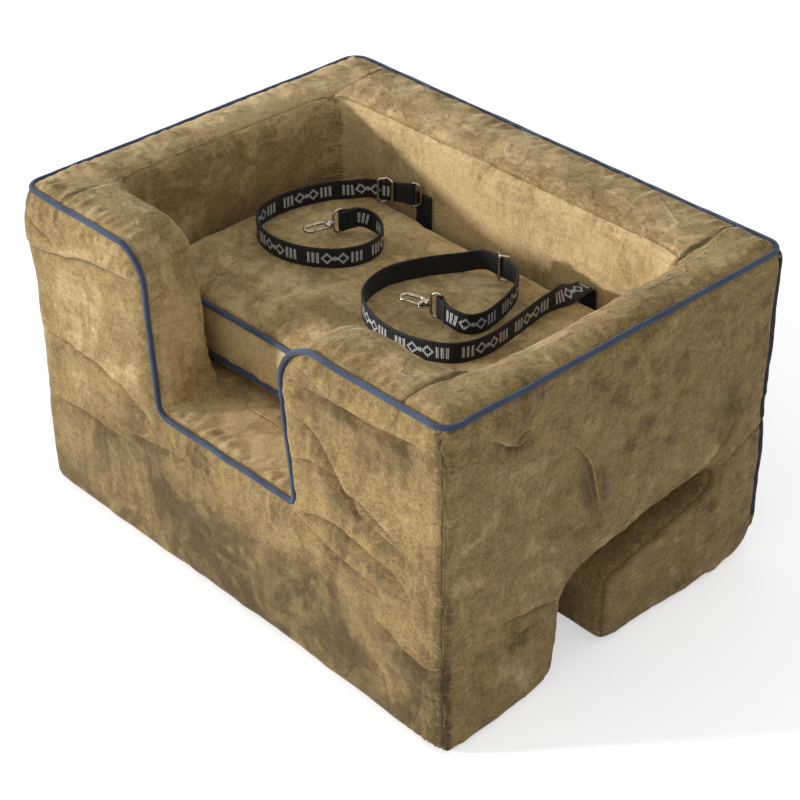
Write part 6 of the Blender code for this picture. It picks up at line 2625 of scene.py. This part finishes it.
    def loop(self, label: str, place: Matrix, wardrobe: Wardrobe, tree: NodeTree) -> list[Object]:
        """Makes the webbing folded round a ring's bar, and its stitches.

        Args:
            label: The loop's name after the tether's.
            place: Its frame.
            wardrobe: The finishes.
            tree: The stitch tree.

        Returns:
            The loop and the stitches.
        """
        name = f"{self.name}_{label}"
        mesh = self.webbing(name, spaced(self.fittings.loop_path(), 0.0006, closed=False), Z_WAY, (0.0, 0.0))
        loop = self.placed(name + "_webbing", mesh, place, wardrobe.webbing, "webbing", "cushion", name)
        rows = [np.array([tuple(place @ Vector(p)) for p in row]) for row in self.fittings.stitch_rows()]
        stitches = Stitching().build(name + "_stitches", rows, wardrobe.thread, tree)
        return [loop, settle(stitches, wardrobe.thread, "webbing", "cushion")]

    def hook_end(self, line: Line, wardrobe: Wardrobe, tree: NodeTree) -> tuple[Line, list[Object]]:
        """Makes the sewn end, the swivel eye, the hook and its gate.

        Args:
            line: The webbing's middle line.
            wardrobe: The finishes.
            tree: The stitch tree.

        Returns:
            The webbing that is left, and the pieces.
        """
        kit = self.fittings
        bar, edge = line[-1]
        webbing = trimmed(line[::-1], kit.loop_length + kit.clearance)[::-1]
        sewn = frame_at(bar, bar - webbing[-1][0], edge)
        up = sewn.to_3x3().col[2]
        onwards = Vector((*self.hook_way, 0.0))
        swung = frame_at(bar, onwards - up * onwards.dot(up), up)
        pieces = self.loop("end_loop", sewn, wardrobe, tree)
        for label, mesh, body in (("eye", kit.eye(), "eye"), ("hook", kit.hook(), "hook"),
                                  ("gate", kit.gate_bar(), "gate"), ("gate_pin", kit.gate_pin(), "hook")):
            pieces.append(self.metal(label, mesh, swung, f"{self.name}_{body}_body", wardrobe))
        return webbing, pieces

    def tail(self, x: float, top: float, wardrobe: Wardrobe) -> None:
        """Makes the hidden stretch of webbing behind the cushion, which follows it up.

        Args:
            x: Where it is across.
            top: How high it goes.
            wardrobe: The finishes.
        """
        y = SEAT_BACK - self.setback
        path = spaced([(x, y, self.tail_base), (x, y, top)], 0.002, closed=False)
        name = f"{self.name}_tail"
        obj = linked(name + "_webbing", self.webbing(name, path, -X_WAY, (0.0, 0.0)))
        obj.data.materials.append(wardrobe.webbing)
        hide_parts(name)
        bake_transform(obj)

    def build(self, wardrobe: Wardrobe, surface: BVHTree, tree: NodeTree) -> Array:
        """Makes and dresses the tether.

        Args:
            wardrobe: The finishes.
            surface: The cushion's top.
            tree: The stitch tree.

        Returns:
            The points of the webbing's line.
        """
        kit = self.fittings
        line = self.line(surface)
        at = self.slider_point * self.steps
        slider_place = frame_at(line[at][0], line[at + 1][0] - line[at - 1][0], line[at][1])
        slider = self.metal("slider", kit.slider(), slider_place, f"{self.name}_slider_body", wardrobe)
        left, pieces = self.hook_end(line, wardrobe, tree)
        end_way = line[-1][0] - left[-1][0]
        if self.crease_turn:
            rise = self.crease_rise(left[0][0])
            start_way = rise[1][0] - rise[0][0]
            self.tail(rise[0][0].x, rise[0][0].z - kit.clearance, wardrobe)
            left = rise + left
        else:
            bar, edge = line[0]
            left = trimmed(left, kit.loop_length + kit.clearance)
            anchor = frame_at(bar, bar - left[0][0], edge)
            pieces += self.loop("ring_loop", anchor, wardrobe, tree)
            pieces.append(self.metal("ring", kit.ring(), anchor, "cushion", wardrobe))
            self.tail(bar.x + kit.reach, bar.z, wardrobe)
            start_way = left[0][0] - bar
        path, edges = self.smooth_line(left, start_way, end_way)
        name = f"{self.name}_webbing"
        printed = (1.0, 1.0 if self.both_faces else 0.0)
        strap = linked(name + "_strap", self.webbing(name, path, edges, printed))
        settle(strap, wardrobe.webbing, "webbing", "cushion", name)
        return path


def make_tethers(wardrobe: Wardrobe) -> Array:
    """Makes both tethers and gives the points of their lines.

    Args:
        wardrobe: The finishes.

    Returns:
        The points of both lines.
    """
    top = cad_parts["cushion_top_panel"].data
    surface = BVHTree.FromPolygons([v.co for v in top.vertices], [p.vertices for p in top.polygons])
    tree, kit = stitch_tree(), Fittings()
    left = Tether(1, LEFT_ROUTE, 3, (-0.25, -0.97), crease_turn=False, both_faces=True, fittings=kit)
    right = Tether(2, RIGHT_ROUTE, 22, (-0.95, -0.31), crease_turn=True, both_faces=False, fittings=kit)
    return np.vstack([tether.build(wardrobe, surface, tree) for tether in (left, right)])




def main() -> None:
    """Builds the studio and the object."""
    logging.basicConfig(level=logging.INFO, format="%(name)s: %(message)s")
    Studio().build()
    wardrobe = Wardrobe()
    routes = make_tethers(wardrobe)
    RimPiping().build(wardrobe)
    SeatCover().build(wardrobe)
    Cushion().build(wardrobe, routes)


if __name__ == "__main__":
    main()
